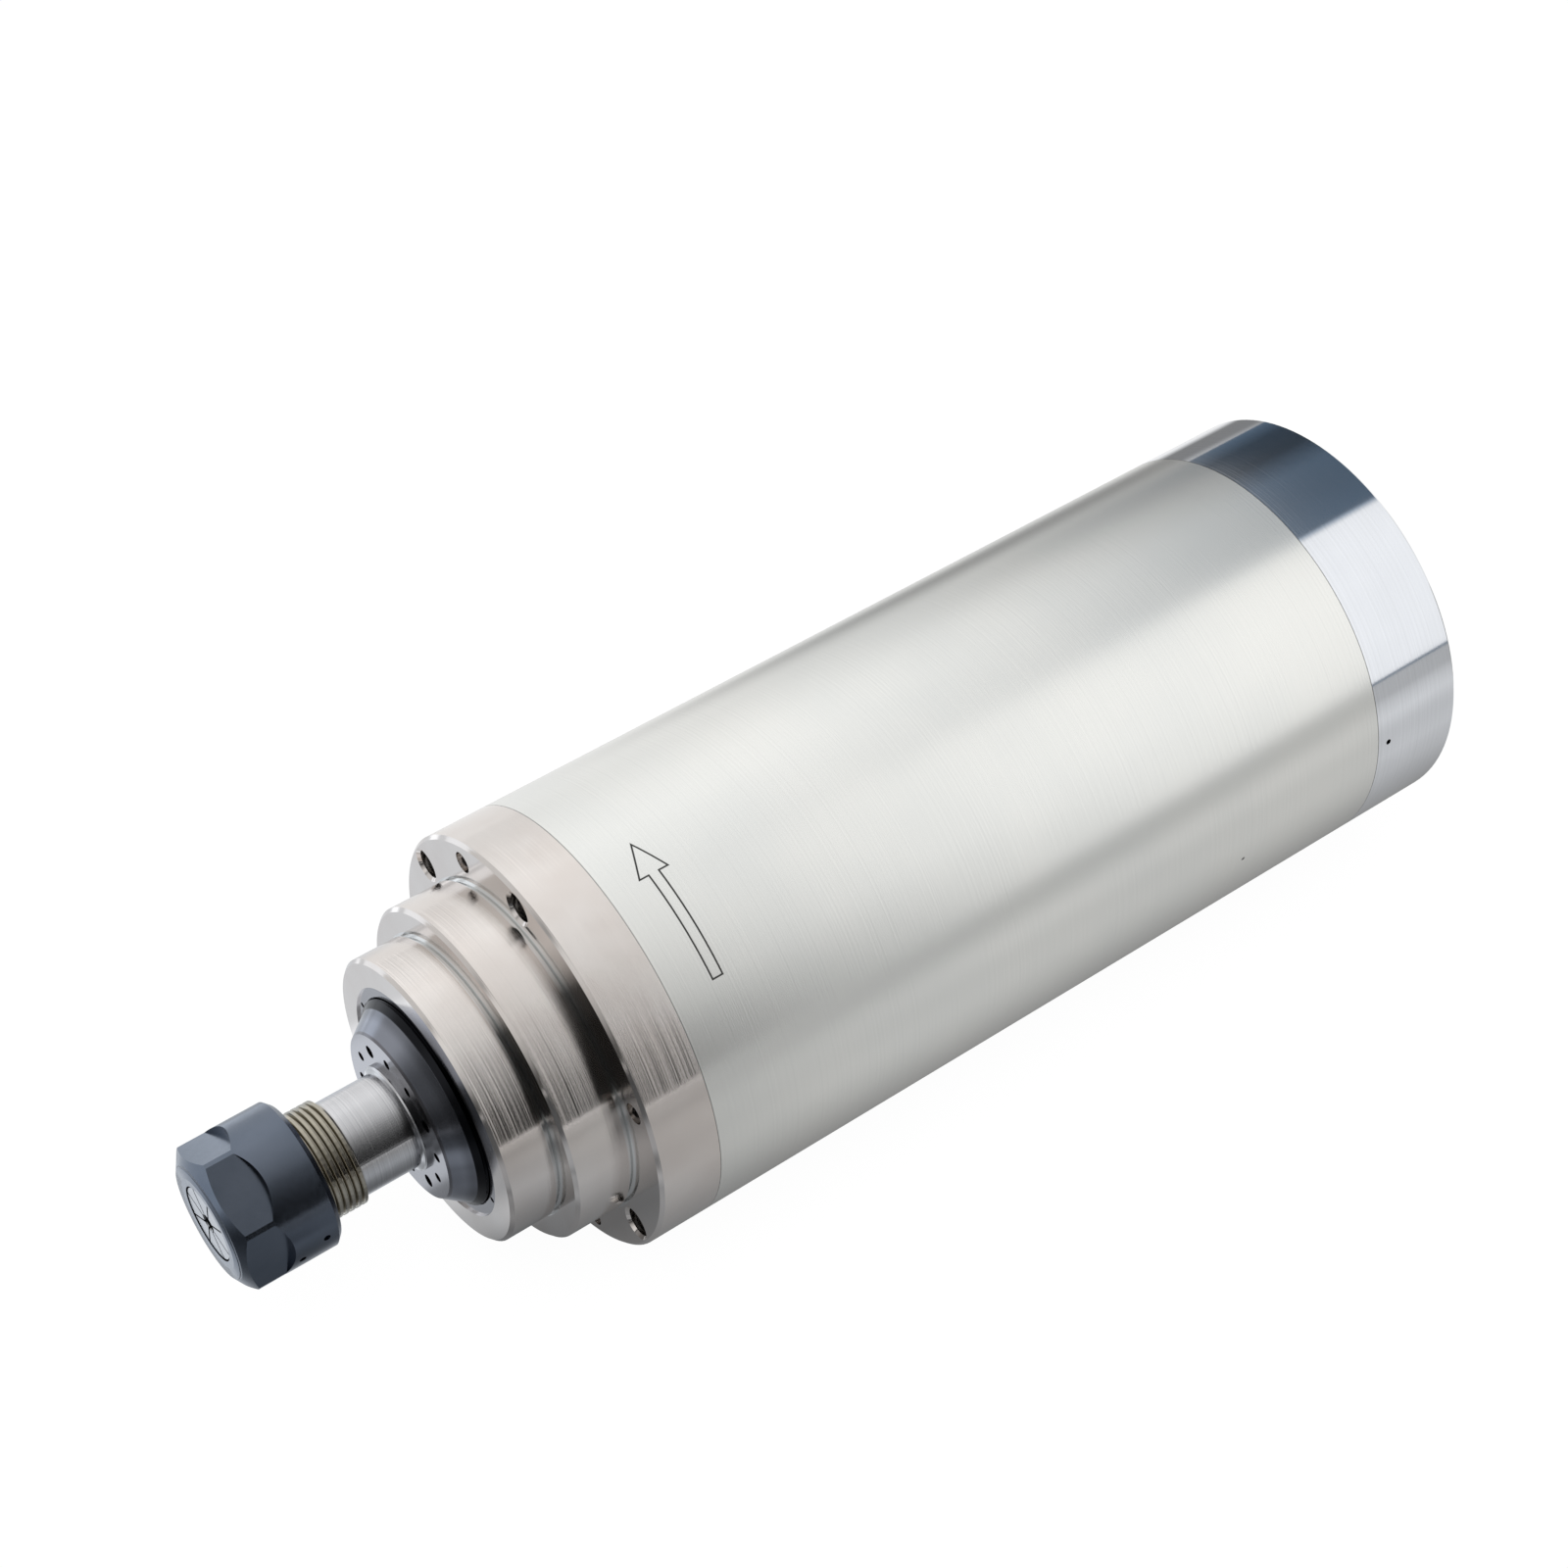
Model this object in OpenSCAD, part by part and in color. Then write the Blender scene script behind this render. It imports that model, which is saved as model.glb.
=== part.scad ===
// Water-cooled motor spindle with a collet nose, lying on its side.
// The spindle axis is X: the nose points to -X and the rear cap to +X.
// The origin is on the axis, in the plane of the flange's front face. All sizes are in millimetres.

/* [Housing] */
// Outside diameter of the sleeve, the flange and the rear cap
body_d = 100; // [98:0.5:104]
// Length of the stainless sleeve between the flange and the rear cap
sleeve_length = 188; // [184:1:200]
// Wall of the sleeve
sleeve_wall = 4; // [3:0.25:5]
// Thickness of the flange
flange_thickness = 15; // [14:0.5:18]
// Width of the flange's bare face around the locating step
flange_seat = 10; // [9.5:0.25:12]
// Length of the locating step
pilot_length = 14.5; // [13:0.5:17]
// Width of the locating step's face around the front step
pilot_seat = 6; // [4.5:0.25:7]
// Length of the front step
nose_length = 12.3; // [11:0.1:15]
// Depth of the relief groove at the root of each step
relief_depth = 0.6; // [0.3:0.1:1]
// Width of the relief groove at the root of each step
relief_width = 1.2; // [0.8:0.1:2]
// Depth of the relief groove into the face at the root of each step
face_relief = 0.3; // [0.2:0.05:0.5]
// Chamfer on the outer edges of the housing
edge_chamfer = 0.8; // [0.3:0.1:1.2]
// Length of the front housing inside the sleeve
spigot_length = 18; // [16:0.5:22]
// Radial clearance between the sleeve and what it holds
sleeve_fit = 0.02; // [0.01:0.01:0.05]

/* [Flange holes] */
// Distance of the flange's holes from its outside
flange_hole_inset = 5; // [4.9:0.05:5.6]
// Core diameter of the mounting threads, M8
mount_hole_d = 6.8; // [5:0.1:7]
// Diameter of the countersink at the mouth of a mounting thread
mount_mouth_d = 8.2; // [7.4:0.1:8.6]
// Depth of the mounting threads
mount_hole_depth = 12; // [10:0.5:13]
// Clock angle of the first mounting thread, from +Y towards +Z
mount_first_angle = 30; // [25:1:35]
// Angle between the two mounting threads of a pair
mount_pair_angle = 60; // [50:1:65]
// Diameter of the jacking threads, M5
jack_hole_d = 5; // [4:0.1:5.4]
// Clock angle of the first jacking thread
jack_angle_a = 61; // [58:1:64]
// Clock angle of the second jacking thread
jack_angle_b = 155; // [150:1:160]
// Depth of a grub screw below the flange face
grub_recess = 2; // [1:0.5:4]
// Length of a grub screw
grub_length = 6; // [4:0.5:8]

/* [Front bearings] */
// Bore of the front bearings, and of the slinger
front_bore_d = 25; // [25:0.1:25.4]
// Outside diameter of the front bearings
front_outer_d = 52; // [51:0.5:53]
// Width of one front bearing
front_width = 15; // [14:0.25:15.5]
// Diameter of the front bearing balls
front_ball_d = 7.9; // [7:0.1:8]
// Number of balls in one front bearing
front_ball_count = 12; // [10:1:12]
// Length of the spacers between the front bearings
front_spacer_length = 6; // [4:0.5:7]
// Height of the housing shoulder behind the front bearings
shoulder_length = 4; // [3:0.5:5]
// Clearance between a ball and its races
race_gap = 0.1; // [0.05:0.01:0.15]
// Clearance between a ball and its cage pocket
pocket_gap = 0.15; // [0.1:0.01:0.3]
// Clearance between a cage and the land of the outer ring
cage_gap = 0.25; // [0.15:0.05:0.3]
// Radial fit of the bearing rings on the shaft and in the housings
seat_fit = 0.01; // [0.01:0.01:0.03]

/* [Retaining ring and slinger] */
// Width of the threaded retaining ring around the slinger
ring_width = 2.8; // [2.6:0.1:3.4]
// Thickness of the retaining ring
ring_thickness = 5; // [4.5:0.25:6]
// Depth of the retaining ring below the nose face
ring_recess = 0.5; // [0.2:0.1:1]
// Diameter of the two spanner holes in the retaining ring
ring_hole_d = 1.4; // [1:0.1:1.6]
// Clock angle of the first spanner hole in the retaining ring
ring_hole_angle = 17; // [0:1:90]
// Outside diameter of the slinger
slinger_d = 49.4; // [47:0.1:50]
// Height of the slinger's rim around its cone
slinger_rim = 1.4; // [1:0.1:2.4]
// Diameter of the slinger's flat front face
slinger_face_d = 39.4; // [36:0.1:41]
// How far the slinger stands in front of the nose face
slinger_reach = 6.3; // [5:0.1:7.5]
// Clearance of the labyrinth between the slinger and the retaining ring
labyrinth_gap = 0.3; // [0.2:0.05:0.4]
// Pitch circle of the holes in the slinger
slinger_pcd = 31.2; // [30.5:0.1:32.5]
// Diameter of the four spanner holes in the slinger
spanner_hole_d = 3; // [2.5:0.1:3.2]
// Diameter of the eight balancing holes in the slinger
balance_hole_d = 2.3; // [1.8:0.1:2.5]
// Depth of the holes in the slinger
slinger_hole_depth = 4; // [3:0.5:5]
// Clock angle of the first spanner hole
slinger_clock = 51; // [0:1:90]

/* [Shaft] */
// Diameter of the shank between the slinger and the nut thread
shank_d = 22.4; // [21.5:0.1:22.8]
// Diameter of the nut thread, M25 by 1.5
nut_thread_d = 24.8; // [24.4:0.1:24.9]
// Length of the nut thread
nut_thread_length = 23.5; // [22:0.5:26]
// Distance from the nose face to the nut thread
shank_length = 21.2; // [18:0.1:24]
// Chamfer at the start of the nut thread
thread_chamfer = 0.8; // [0.5:0.1:1]
// Diameter of the shaft under the rotor core
core_seat_d = 30; // [29:0.5:30.5]
// Diameter of the collar in front of the rotor core
collar_d = 34; // [33:0.5:36]
// Diameter of the shaft behind the rotor core
tail_d = 24; // [22:0.5:26]
// How far the shaft stands behind its lock nut
tail_reach = 1.5; // [0.5:0.5:2.5]

/* [Collet and nut] */
// Largest diameter of the ER20 collet
collet_d = 21; // [21:0.1:21.2]
// Length of the collet
collet_length = 31.5; // [30:0.5:32]
// Diameter of the collet's front face
collet_face_d = 16.8; // [16:0.1:17.2]
// Diameter of the collet's front collar
collet_collar_d = 19; // [18.6:0.1:19.4]
// Diameter of the groove behind the collar
collet_groove_d = 17.4; // [17:0.1:17.6]
// Bore of the collet, for the tool's shank
collet_bore_d = 4; // [3:0.1:7]
// Length of the gripping bore
grip_length = 15; // [14:0.5:22]
// Number of slots cut from each end of the collet
collet_slots = 8; // [6:1:8]
// Clock angle of the first slot from the collet's front
collet_clock = 11; // [0:1:45]
// Width of a collet slot
slot_width = 0.5; // [0.4:0.1:0.8]
// Clearance between the collet and the taper in the shaft
taper_gap = 0.03; // [0.02:0.01:0.06]
// Outside diameter of the nut
nut_d = 34; // [33.5:0.1:35]
// Length of the nut
nut_length = 22.4; // [22:0.1:24]
// Width across the flats of the nut
nut_flats = 30; // [29.6:0.1:30.6]
// Length of the flats from the nut's front face to their corners
nut_flat_length = 8.4; // [7:0.1:9.5]
// Radius of the cutter that left the rounded end of each flat
flat_cutter_r = 15.2; // [12:0.1:18]
// Diameter of the nut's flat front face
nut_face_d = 26; // [25:0.1:27]
// Length of the chamfer between the front face and the flats
nut_front_chamfer = 2.4; // [1.5:0.1:3]
// Chamfer on the nut's rear edge
nut_rear_chamfer = 1.2; // [0.6:0.1:1.6]
// Clock angle of the first corner of the nut
nut_clock = 26.7; // [0:0.1:60]
// Radial clearance between the nut's bore and the thread
nut_thread_gap = 0.15; // [0.1:0.01:0.25]
// Clearance between the nut's mouth and the collet
mouth_gap = 0.4; // [0.3:0.05:0.5]
// Clearance between the nut's inner cone and the collet's bevel
cone_gap = 0.1; // [0.05:0.01:0.15]

/* [Water jacket] */
// Wall of the water jacket between the sleeve and the stator
jacket_wall = 10; // [9.5:0.25:11]
// Depth of the water channels
channel_depth = 4; // [3:0.25:4.5]
// Number of water channels around the jacket
channel_count = 9; // [7:1:10]
// Width of the wall between two channels
channel_wall = 4; // [3:0.25:5]
// Length of the plain land at each end of the jacket
jacket_land = 10; // [9:0.5:12]
// Clock angle of the dam that turns the water around
dam_angle = 265; // [255:1:272]
// Width of the dam, in degrees
dam_width = 28; // [24:1:32]
// Width of the return channel in the dam, in degrees
return_width = 12; // [11:0.5:14]
// Width of the crossing from one channel to the next, in degrees
crossing_width = 12; // [10:1:16]
// Thickness of the O-rings
o_ring_d = 1.8; // [1.5:0.1:2]
// Diameter of the water passages through the end pieces
passage_d = 3.6; // [3:0.1:3.8]
// Distance of the water passages from the sleeve's bore
passage_inset = 4.5; // [4.2:0.1:5]

/* [Motor] */
// Length of the stator and rotor cores
core_length = 96; // [88:1:100]
// Distance from the jacket's front end to the stator core
core_inset = 19; // [18:0.5:20]
// Bore of the stator core
stator_bore_d = 42.8; // [42.6:0.1:44]
// Air gap between the rotor and the stator
air_gap = 0.4; // [0.3:0.05:0.6]
// Number of stator slots
stator_slots = 24; // [18:6:24]
// Width of a stator slot
stator_slot_width = 3.4; // [2.8:0.1:3.6]
// Steel left behind the stator slots
stator_back = 4.4; // [3.9:0.1:5.5]
// Width of the mouth of a stator slot
slot_mouth_width = 1.6; // [1.2:0.1:2]
// Depth of the mouth of a stator slot
slot_mouth_depth = 2.2; // [1.5:0.1:2.5]
// Thickness of the slot insulation
slot_liner = 0.3; // [0.2:0.05:0.4]
// Thickness of a slot wedge
wedge_thickness = 0.6; // [0.4:0.1:1]
// Length of the end turns at each end of the stator
end_turn_length = 15; // [12:0.5:16]
// Number of bars in the rotor cage
rotor_bars = 20; // [16:1:22]
// Diameter of a rotor bar
rotor_bar_d = 3.8; // [3.2:0.1:4]
// Steel left outside the rotor bars
rotor_bridge = 0.9; // [0.7:0.1:1.1]
// Thickness of the rotor end rings
end_ring_length = 7; // [5:0.5:8]
// Diameter of a tie rod
tie_rod_d = 4; // [3.5:0.1:4]
// Length of a tie rod's thread in the front housing
tie_rod_hold = 9; // [7:0.5:12]
// Clock angle of the first tie rod
tie_rod_angle = 10; // [5:1:15]

/* [Rear housing] */
// Length of the rear housing's flange inside the sleeve
rear_flange_length = 12; // [11:0.5:14]
// Bore of the rear bearings
rear_bore_d = 17; // [16.5:0.1:17.5]
// Outside diameter of the rear bearings
rear_outer_d = 35; // [34.5:0.1:36]
// Width of one rear bearing
rear_width = 10; // [9:0.25:10.5]
// Diameter of the rear bearing balls
rear_ball_d = 5.5; // [5:0.1:5.6]
// Number of balls in one rear bearing
rear_ball_count = 11; // [9:1:11]
// Distance from the cap seam to the rear bearings
rear_bearing_inset = 8; // [7:0.5:10]
// Height of the disc spring pack
spring_height = 4; // [3.4:0.1:5]
// Thickness of one disc spring
spring_thickness = 1.2; // [0.8:0.1:1.4]
// Thickness of the shoulder that carries the springs
rear_shoulder = 4; // [3:0.5:5]
// Length of the rear lock nut
lock_nut_length = 7; // [6:0.5:8]
// Outside diameter of the rear lock nut
lock_nut_d = 28; // [26:0.5:30]

/* [Rear cap] */
// Length of the rear cap
cap_length = 25; // [24:0.5:28]
// Length of the cap's spigot inside the sleeve
cap_spigot = 3; // [2:0.5:4]
// Depth of the cavity in the cap, from the seam
cap_cavity_depth = 10; // [9.5:0.5:11]
// Width of the cap's rim around its cavity
cap_rim_width = 15.5; // [15:0.25:17]
// Chamfer on the cap's rear edge
cap_chamfer = 1; // [0.5:0.1:2]
// Diameter of the cap screws, M5
cap_screw_d = 5; // [4:0.1:5]
// Diameter of the heads of the cap screws
cap_screw_head_d = 8.5; // [8:0.1:8.8]
// Distance of the cap screws from the sleeve's bore
cap_screw_inset = 3.5; // [3:0.1:4]
// Clock angle of the first cap screw
cap_screw_angle = 35; // [30:1:40]
// Depth of the counterbores for the cap screws
counterbore_depth = 6; // [5.5:0.25:8]
// Length of the cap screws below their heads
cap_screw_length = 32; // [30:0.5:33]
// Diameter of the small blind hole beside the cap seam
vent_d = 1.4; // [1:0.1:2]
// Distance of the small blind hole from the cap seam
vent_offset = 3.1; // [2:0.1:5]
// Clock angle of the small blind hole
vent_angle = 171; // [165:1:177]

/* [Water fittings] */
// Offset of the water fittings inwards from the water passages
fitting_offset = 8.5; // [7.5:0.25:9.5]
// Angle of each fitting from the line between the two
fitting_spread = 40; // [36:1:44]
// Diameter of the thread of a fitting
fitting_thread_d = 9.6; // [9:0.1:9.8]
// Length of the thread of a fitting
fitting_thread_length = 8; // [6:0.5:9]
// Width across the flats of a fitting
fitting_flats = 12; // [11:0.5:13]
// Length of the hexagon of a fitting
fitting_hex_length = 4; // [3:0.5:5]
// Outside diameter of the hose tail
hose_tail_d = 8; // [6:0.5:9]
// Length of the hose tail
hose_tail_length = 15; // [12:0.5:16]
// Bore of a fitting
fitting_bore_d = 4; // [3:0.25:5]
// Thickness of the sealing washers
washer_thickness = 1; // [0.5:0.1:1.5]

/* [Connector] */
// Diameter of the connector's threaded barrel
connector_d = 19; // [16:0.5:20]
// How far the barrel stands behind the cap
connector_reach = 13; // [10:0.5:14]
// Diameter of the connector's flange
connector_flange_d = 25; // [23:0.5:26]
// Thickness of the connector's flange
connector_flange = 2.5; // [1.5:0.25:3.5]
// Diameter of the connector's body through the cap
connector_body_d = 16; // [15:0.5:16.5]
// Wall of the connector's barrel
connector_wall = 1.6; // [1.2:0.1:2.2]
// Diameter of a contact pin
pin_d = 1.6; // [1.2:0.1:2]
// Radius of the pin circle
pin_circle_r = 3.8; // [3.4:0.1:4.2]
// Diameter of a lead wire
lead_d = 2.2; // [1.6:0.1:2.4]
// Distance of the lead wires from the water jacket's bore
lead_inset = 11; // [10:0.25:12]

/* [Hidden] */
$fn = 96;
// Overlap of a cut beyond the face that it opens
eps = 0.5;

// Radii of the housing
body_r = body_d / 2;
pilot_r = body_r - flange_seat;
nose_r = pilot_r - pilot_seat;
bore_r = body_r - sleeve_wall;
inner_r = bore_r - sleeve_fit;
jacket_bore_r = bore_r - jacket_wall;
channel_floor_r = inner_r - channel_depth;
hole_circle_r = body_r - flange_hole_inset;
// How far a face relief reaches beyond the step that it surrounds
face_relief_rim = 0.3;

// Gap that keeps the two rear bearings separate pieces
rear_pair_gap = 0.1;

// Places along the axis, from the nose to the rear
pilot_x = -pilot_length;
nose_x = pilot_x - nose_length;
ring_x = nose_x + ring_recess;
bearing_a_x = ring_x + ring_thickness;
spacer_x = bearing_a_x + front_width;
bearing_b_x = spacer_x + front_spacer_length;
shoulder_x = bearing_b_x + front_width;
seam_x = flange_thickness;
spigot_x = seam_x + spigot_length;
cap_seam_x = seam_x + sleeve_length;
rear_flange_end_x = cap_seam_x - cap_spigot;
rear_flange_x = rear_flange_end_x - rear_flange_length;
rear_x = cap_seam_x + cap_length;
core_x = spigot_x + core_inset;
core_end_x = core_x + core_length;
rear_b_end_x = cap_seam_x - rear_bearing_inset;
rear_a_x = rear_b_end_x - 2 * rear_width - rear_pair_gap;
spring_x = rear_a_x - spring_height;
hub_x = spring_x - rear_shoulder;
tail_end_x = rear_b_end_x + lock_nut_length + tail_reach;
cavity_end_x = cap_seam_x + cap_cavity_depth;

// Places of the slinger, the nut and the collet
slinger_face_x = nose_x - slinger_reach;
thread_root_x = nose_x - shank_length;
shaft_nose_x = thread_root_x - nut_thread_length;
// The collet's largest diameter stands this far out of the shaft
collet_stand = 0.4;
collet_collar_length = 4;
collet_groove_length = 2.2;
collet_bevel_length = 1;
collet_head_length = collet_collar_length + collet_groove_length + collet_bevel_length;
collet_x = shaft_nose_x - collet_stand - collet_head_length;
// The nut's front face stands a little in front of the collet
nut_overhang = 0.2;
nut_x = collet_x - nut_overhang;
nut_rear_x = nut_x + nut_length;

// Clearance of a thread that is drawn as a plain cylinder, and of a turned seat
ring_gap = 0.02;

// Flange: two pairs of mounting threads and two pairs of jacking threads, each pair opposite
mount_angles = [
    mount_first_angle,
    mount_first_angle + mount_pair_angle,
    mount_first_angle + 180,
    mount_first_angle + mount_pair_angle + 180
];
jack_angles = [jack_angle_a, jack_angle_b, jack_angle_a + 180, jack_angle_b + 180];
jack_depth = grub_recess + grub_length + 1;
front_opening_r = jacket_bore_r - 6;
ring_thread_r = slinger_d / 2 + ring_width;
slinger_cone_r = slinger_d / 2 - slinger_rim;
spigot_groove_places = [seam_x + spigot_length * 0.35, seam_x + spigot_length * 0.75];

// Depth of the spanner holes in the retaining ring
ring_hole_depth = 1.6;

// Tie rods that pull the housing together, in the middle of the jacket's wall
tie_rod_angles = [for (i = [0:3]) tie_rod_angle + i * 90];
tie_rod_r = (jacket_bore_r + channel_floor_r) / 2;
tie_rod_point_gap = 1;
tie_rod_x = spigot_x - tie_rod_hold - tie_rod_point_gap;
tie_rod_head_d = 7;
tie_rod_head_length = 4;
tie_rod_seat_x = rear_flange_end_x - tie_rod_head_length;
tie_rod_gap = 0.2;

// Front bearings: the lands stand 0.39 ball diameters either side of the ball circle
land_share = 0.39;
front_pitch_r = (front_bore_d + front_outer_d) / 4;
front_land_inner_r = front_pitch_r - front_ball_d * land_share;
front_land_outer_r = front_pitch_r + front_ball_d * land_share;
front_places = [bearing_a_x, bearing_b_x];
shoulder_r = front_land_outer_r + 0.4;

// Rear bearings
rear_pitch_r = (rear_bore_d + rear_outer_d) / 4;
rear_land_inner_r = rear_pitch_r - rear_ball_d * land_share;
rear_land_outer_r = rear_pitch_r + rear_ball_d * land_share;
rear_places = [rear_a_x, rear_b_end_x - rear_width];

// The slinger's hub clamps the inner ring of the first bearing
slinger_hub_r = front_land_inner_r;
slinger_back_x = bearing_a_x - 2.7;

// Water jacket: the water flows round in each channel, then crosses to the next beside the dam
passage_r = bore_r - passage_inset;
channels_length = rear_flange_x - spigot_x - 2 * jacket_land;
channel_pitch = (channels_length + channel_wall) / channel_count;
channel_width = channel_pitch - channel_wall;
channels_x = spigot_x + jacket_land;
dam_from = dam_angle - dam_width / 2;
dam_to = dam_angle + dam_width / 2;
outlet_angle = dam_angle;
inlet_angle = dam_angle + 2 * fitting_spread;
jacket_groove_places = [spigot_x + jacket_land / 2, rear_flange_x - jacket_land / 2];

// Stator: slots open into the bore through a narrow mouth
stator_r = jacket_bore_r - seat_fit;
slot_start_r = stator_bore_d / 2 + slot_mouth_depth;
slot_end_r = jacket_bore_r - stator_back;
// How far the winding's bars reach into the end turns
winding_reach = 3;

// Rotor: a laminated core with a cast cage of bars and end rings
rotor_r = stator_bore_d / 2 - air_gap;
bar_circle_r = rotor_r - rotor_bridge - rotor_bar_d / 2;
core_seat_x = core_x - end_ring_length - 0.5;
tail_step_x = core_end_x + end_ring_length + 1;

// Rear housing: its hub stands inside the jacket and carries the rear bearings
hub_r = jacket_bore_r - sleeve_fit;
hub_bore_r = rear_bore_d / 2 + 5;
wire_hole_d = lead_d + 0.8;

// Rear cap
cap_screw_r = bore_r - cap_screw_inset;
cap_cavity_r = bore_r - cap_rim_width;
fitting_r = passage_r - fitting_offset;
cap_screw_angles = [for (i = [0:3]) cap_screw_angle + i * 90];
cap_screw_seat_x = rear_x - counterbore_depth;
cap_screw_tip_x = cap_screw_seat_x - cap_screw_length;
cap_hole_gap = 0.25;
fitting_port_x = rear_x - fitting_thread_length - 3;
crossing_d = passage_d - 0.6;
crossing_x = fitting_port_x + passage_d;
vent_depth = 3;

// Connector: a threaded barrel on a flange, an insulator inside it and four contacts
connector_back_x = cavity_end_x - 1;
barrel_end_x = rear_x + connector_reach;
insert_end_x = rear_x + connector_reach * 0.35;
insert_r = connector_body_d / 2 - connector_wall;
pin_angles = [79, 169, 259, 349];

// Leads: they run from the end turns through the rear housing to the connector's back
lead_r = jacket_bore_r - lead_inset;
lead_inner_r = 5;
lead_angles = [pin_angles[0] - 32, pin_angles[0], pin_angles[0] + 32];
lead_start_x = core_end_x + end_turn_length;
lead_bend = 3;
lead_turn_x = tail_end_x + 1;

// Water fittings
hex_x = rear_x + washer_thickness;
tail_x = hex_x + fitting_hex_length;
hose_tail_end_x = tail_x + hose_tail_length;

// Collet and the taper in the shaft, 8 degrees a side
taper_angle = 8;
collet_taper_x = collet_x + collet_head_length;
collet_end_x = collet_x + collet_length;
collet_end_r = collet_d / 2 - (collet_length - collet_head_length) * tan(taper_angle);
collet_rim_x = collet_x + 0.6;
collet_bevel_x = collet_rim_x + (collet_collar_d - collet_face_d) / 2 / tan(30);
slot_end = 4;
slot_start = 1;
taper_end_x = collet_end_x + 2;
draw_hole_length = 9;
draw_hole_end_x = taper_end_x + draw_hole_length;

// Nut
nut_bore_r = nut_thread_d / 2 + nut_thread_gap;
mouth_r = collet_face_d / 2 + mouth_gap;
seat_end_x = collet_x + collet_collar_length - 0.1;
seat_end_r = collet_collar_d / 2 + 0.3;
// The nut's inner cone is parallel to the collet's bevel
cone_x = collet_rim_x + (mouth_r - cone_gap - collet_face_d / 2) / tan(30);
cone_end_x = cone_x + (seat_end_r - mouth_r) / tan(30);
ring_seat_r = 11.2;
nut_drill_d = 1.6;
nut_drill_depth = 0.8;
// Distance from the nut's rear and clock angle of each balance drilling
nut_drillings = [[4, 183], [9.9, 194]];
ring_seat_end_x = shaft_nose_x - 0.2;
half_flat = nut_flats / 2 * tan(30);
// How far the rounded end of a flat reaches behind its corners
corner_drop = flat_cutter_r - sqrt(pow(flat_cutter_r, 2) - pow(half_flat, 2));

// A solid turned about the spindle axis from a profile of [radius, x] points
module turned(profile) {
    rotate([0, 90, 0])
        rotate_extrude()
            polygon(profile);
}

// A plain ring about the spindle axis
module ring(x, length, inner, outer) {
    turned([[inner, x], [outer, x], [outer, x + length], [inner, x + length]]);
}

// A disc or rod on the spindle axis
module rod(x, length, r) {
    translate([x, 0, 0])
        rotate([0, 90, 0])
            cylinder(h = length, r = r);
}

// The children moved out to a radius at a clock angle, from +Y towards +Z
module clocked(angle, r) {
    rotate([angle, 0, 0])
        translate([0, r, 0])
            children();
}

// The part of a ring between two clock angles less than 90 degrees apart
module ring_sector(x, length, inner, outer, from_angle, to_angle) {
    intersection() {
        ring(x, length, inner, outer);
        wedge(x - eps, length + 2 * eps, from_angle, to_angle);
    }
}

// A wedge from the axis outwards between two clock angles
module wedge(x, length, from_angle, to_angle) {
    half = (to_angle - from_angle) / 2;
    reach = body_d;
    rotate([(from_angle + to_angle) / 2, 0, 0])
        translate([x, 0, 0])
            rotate([90, 0, 90])
                linear_extrude(length)
                    polygon([[0, 0], [reach, -reach * tan(half)], [reach, reach * tan(half)]]);
}

// An O-ring about the spindle axis whose outside touches the given radius
module o_ring(x, outer) {
    translate([x, 0, 0])
        rotate([0, 90, 0])
            rotate_extrude()
                translate([outer - o_ring_d / 2, 0])
                    circle(r = o_ring_d / 2, $fn = 32);
}

// The groove that such an O-ring lies in
module o_ring_groove(x, outer) {
    ring(x - o_ring_d * 0.7, o_ring_d * 1.4, outer - o_ring_d, outer + eps);
}

// Tapped hole along the axis with a countersunk mouth, opening towards -X at x
module tapped_hole(x, depth, core_d, mouth_d) {
    rod(x - eps, depth + eps, core_d / 2);
    turned([
        [0, x - eps],
        [mouth_d / 2 + eps, x - eps],
        [core_d / 2, x + (mouth_d - core_d) / 2],
        [0, x + (mouth_d - core_d) / 2]
    ]);
}

module front_housing() {
    color("#d8d0ca")
    difference() {
        turned([
            [ring_thread_r, nose_x],
            [nose_r - edge_chamfer, nose_x],
            [nose_r, nose_x + edge_chamfer],
            [nose_r, pilot_x - relief_width],
            [nose_r - relief_depth, pilot_x - relief_width],
            [nose_r - relief_depth, pilot_x + face_relief],
            [nose_r + face_relief_rim, pilot_x + face_relief],
            [nose_r + face_relief_rim, pilot_x],
            [pilot_r - edge_chamfer, pilot_x],
            [pilot_r, pilot_x + edge_chamfer],
            [pilot_r, -relief_width],
            [pilot_r - relief_depth, -relief_width],
            [pilot_r - relief_depth, face_relief],
            [pilot_r + face_relief_rim, face_relief],
            [pilot_r + face_relief_rim, 0],
            [body_r - edge_chamfer, 0],
            [body_r, edge_chamfer],
            [body_r, seam_x],
            [inner_r, seam_x],
            [inner_r, spigot_x],
            [front_opening_r, spigot_x],
            [front_opening_r, shoulder_x + shoulder_length],
            [shoulder_r, shoulder_x + shoulder_length],
            [shoulder_r, shoulder_x],
            [front_outer_d / 2 + seat_fit, shoulder_x],
            [front_outer_d / 2 + seat_fit, bearing_a_x],
            [ring_thread_r, bearing_a_x]
        ]);
        for (angle = mount_angles)
            clocked(angle, hole_circle_r)
                tapped_hole(0, mount_hole_depth, mount_hole_d, mount_mouth_d);
        for (angle = jack_angles)
            clocked(angle, hole_circle_r)
                rod(-eps, jack_depth + eps, jack_hole_d / 2);
        for (x = spigot_groove_places)
            o_ring_groove(x, inner_r);
        for (angle = tie_rod_angles)
            clocked(angle, tie_rod_r)
                rod(tie_rod_x, spigot_x - tie_rod_x + eps, tie_rod_d / 2 + seat_fit);
    }
}

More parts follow.
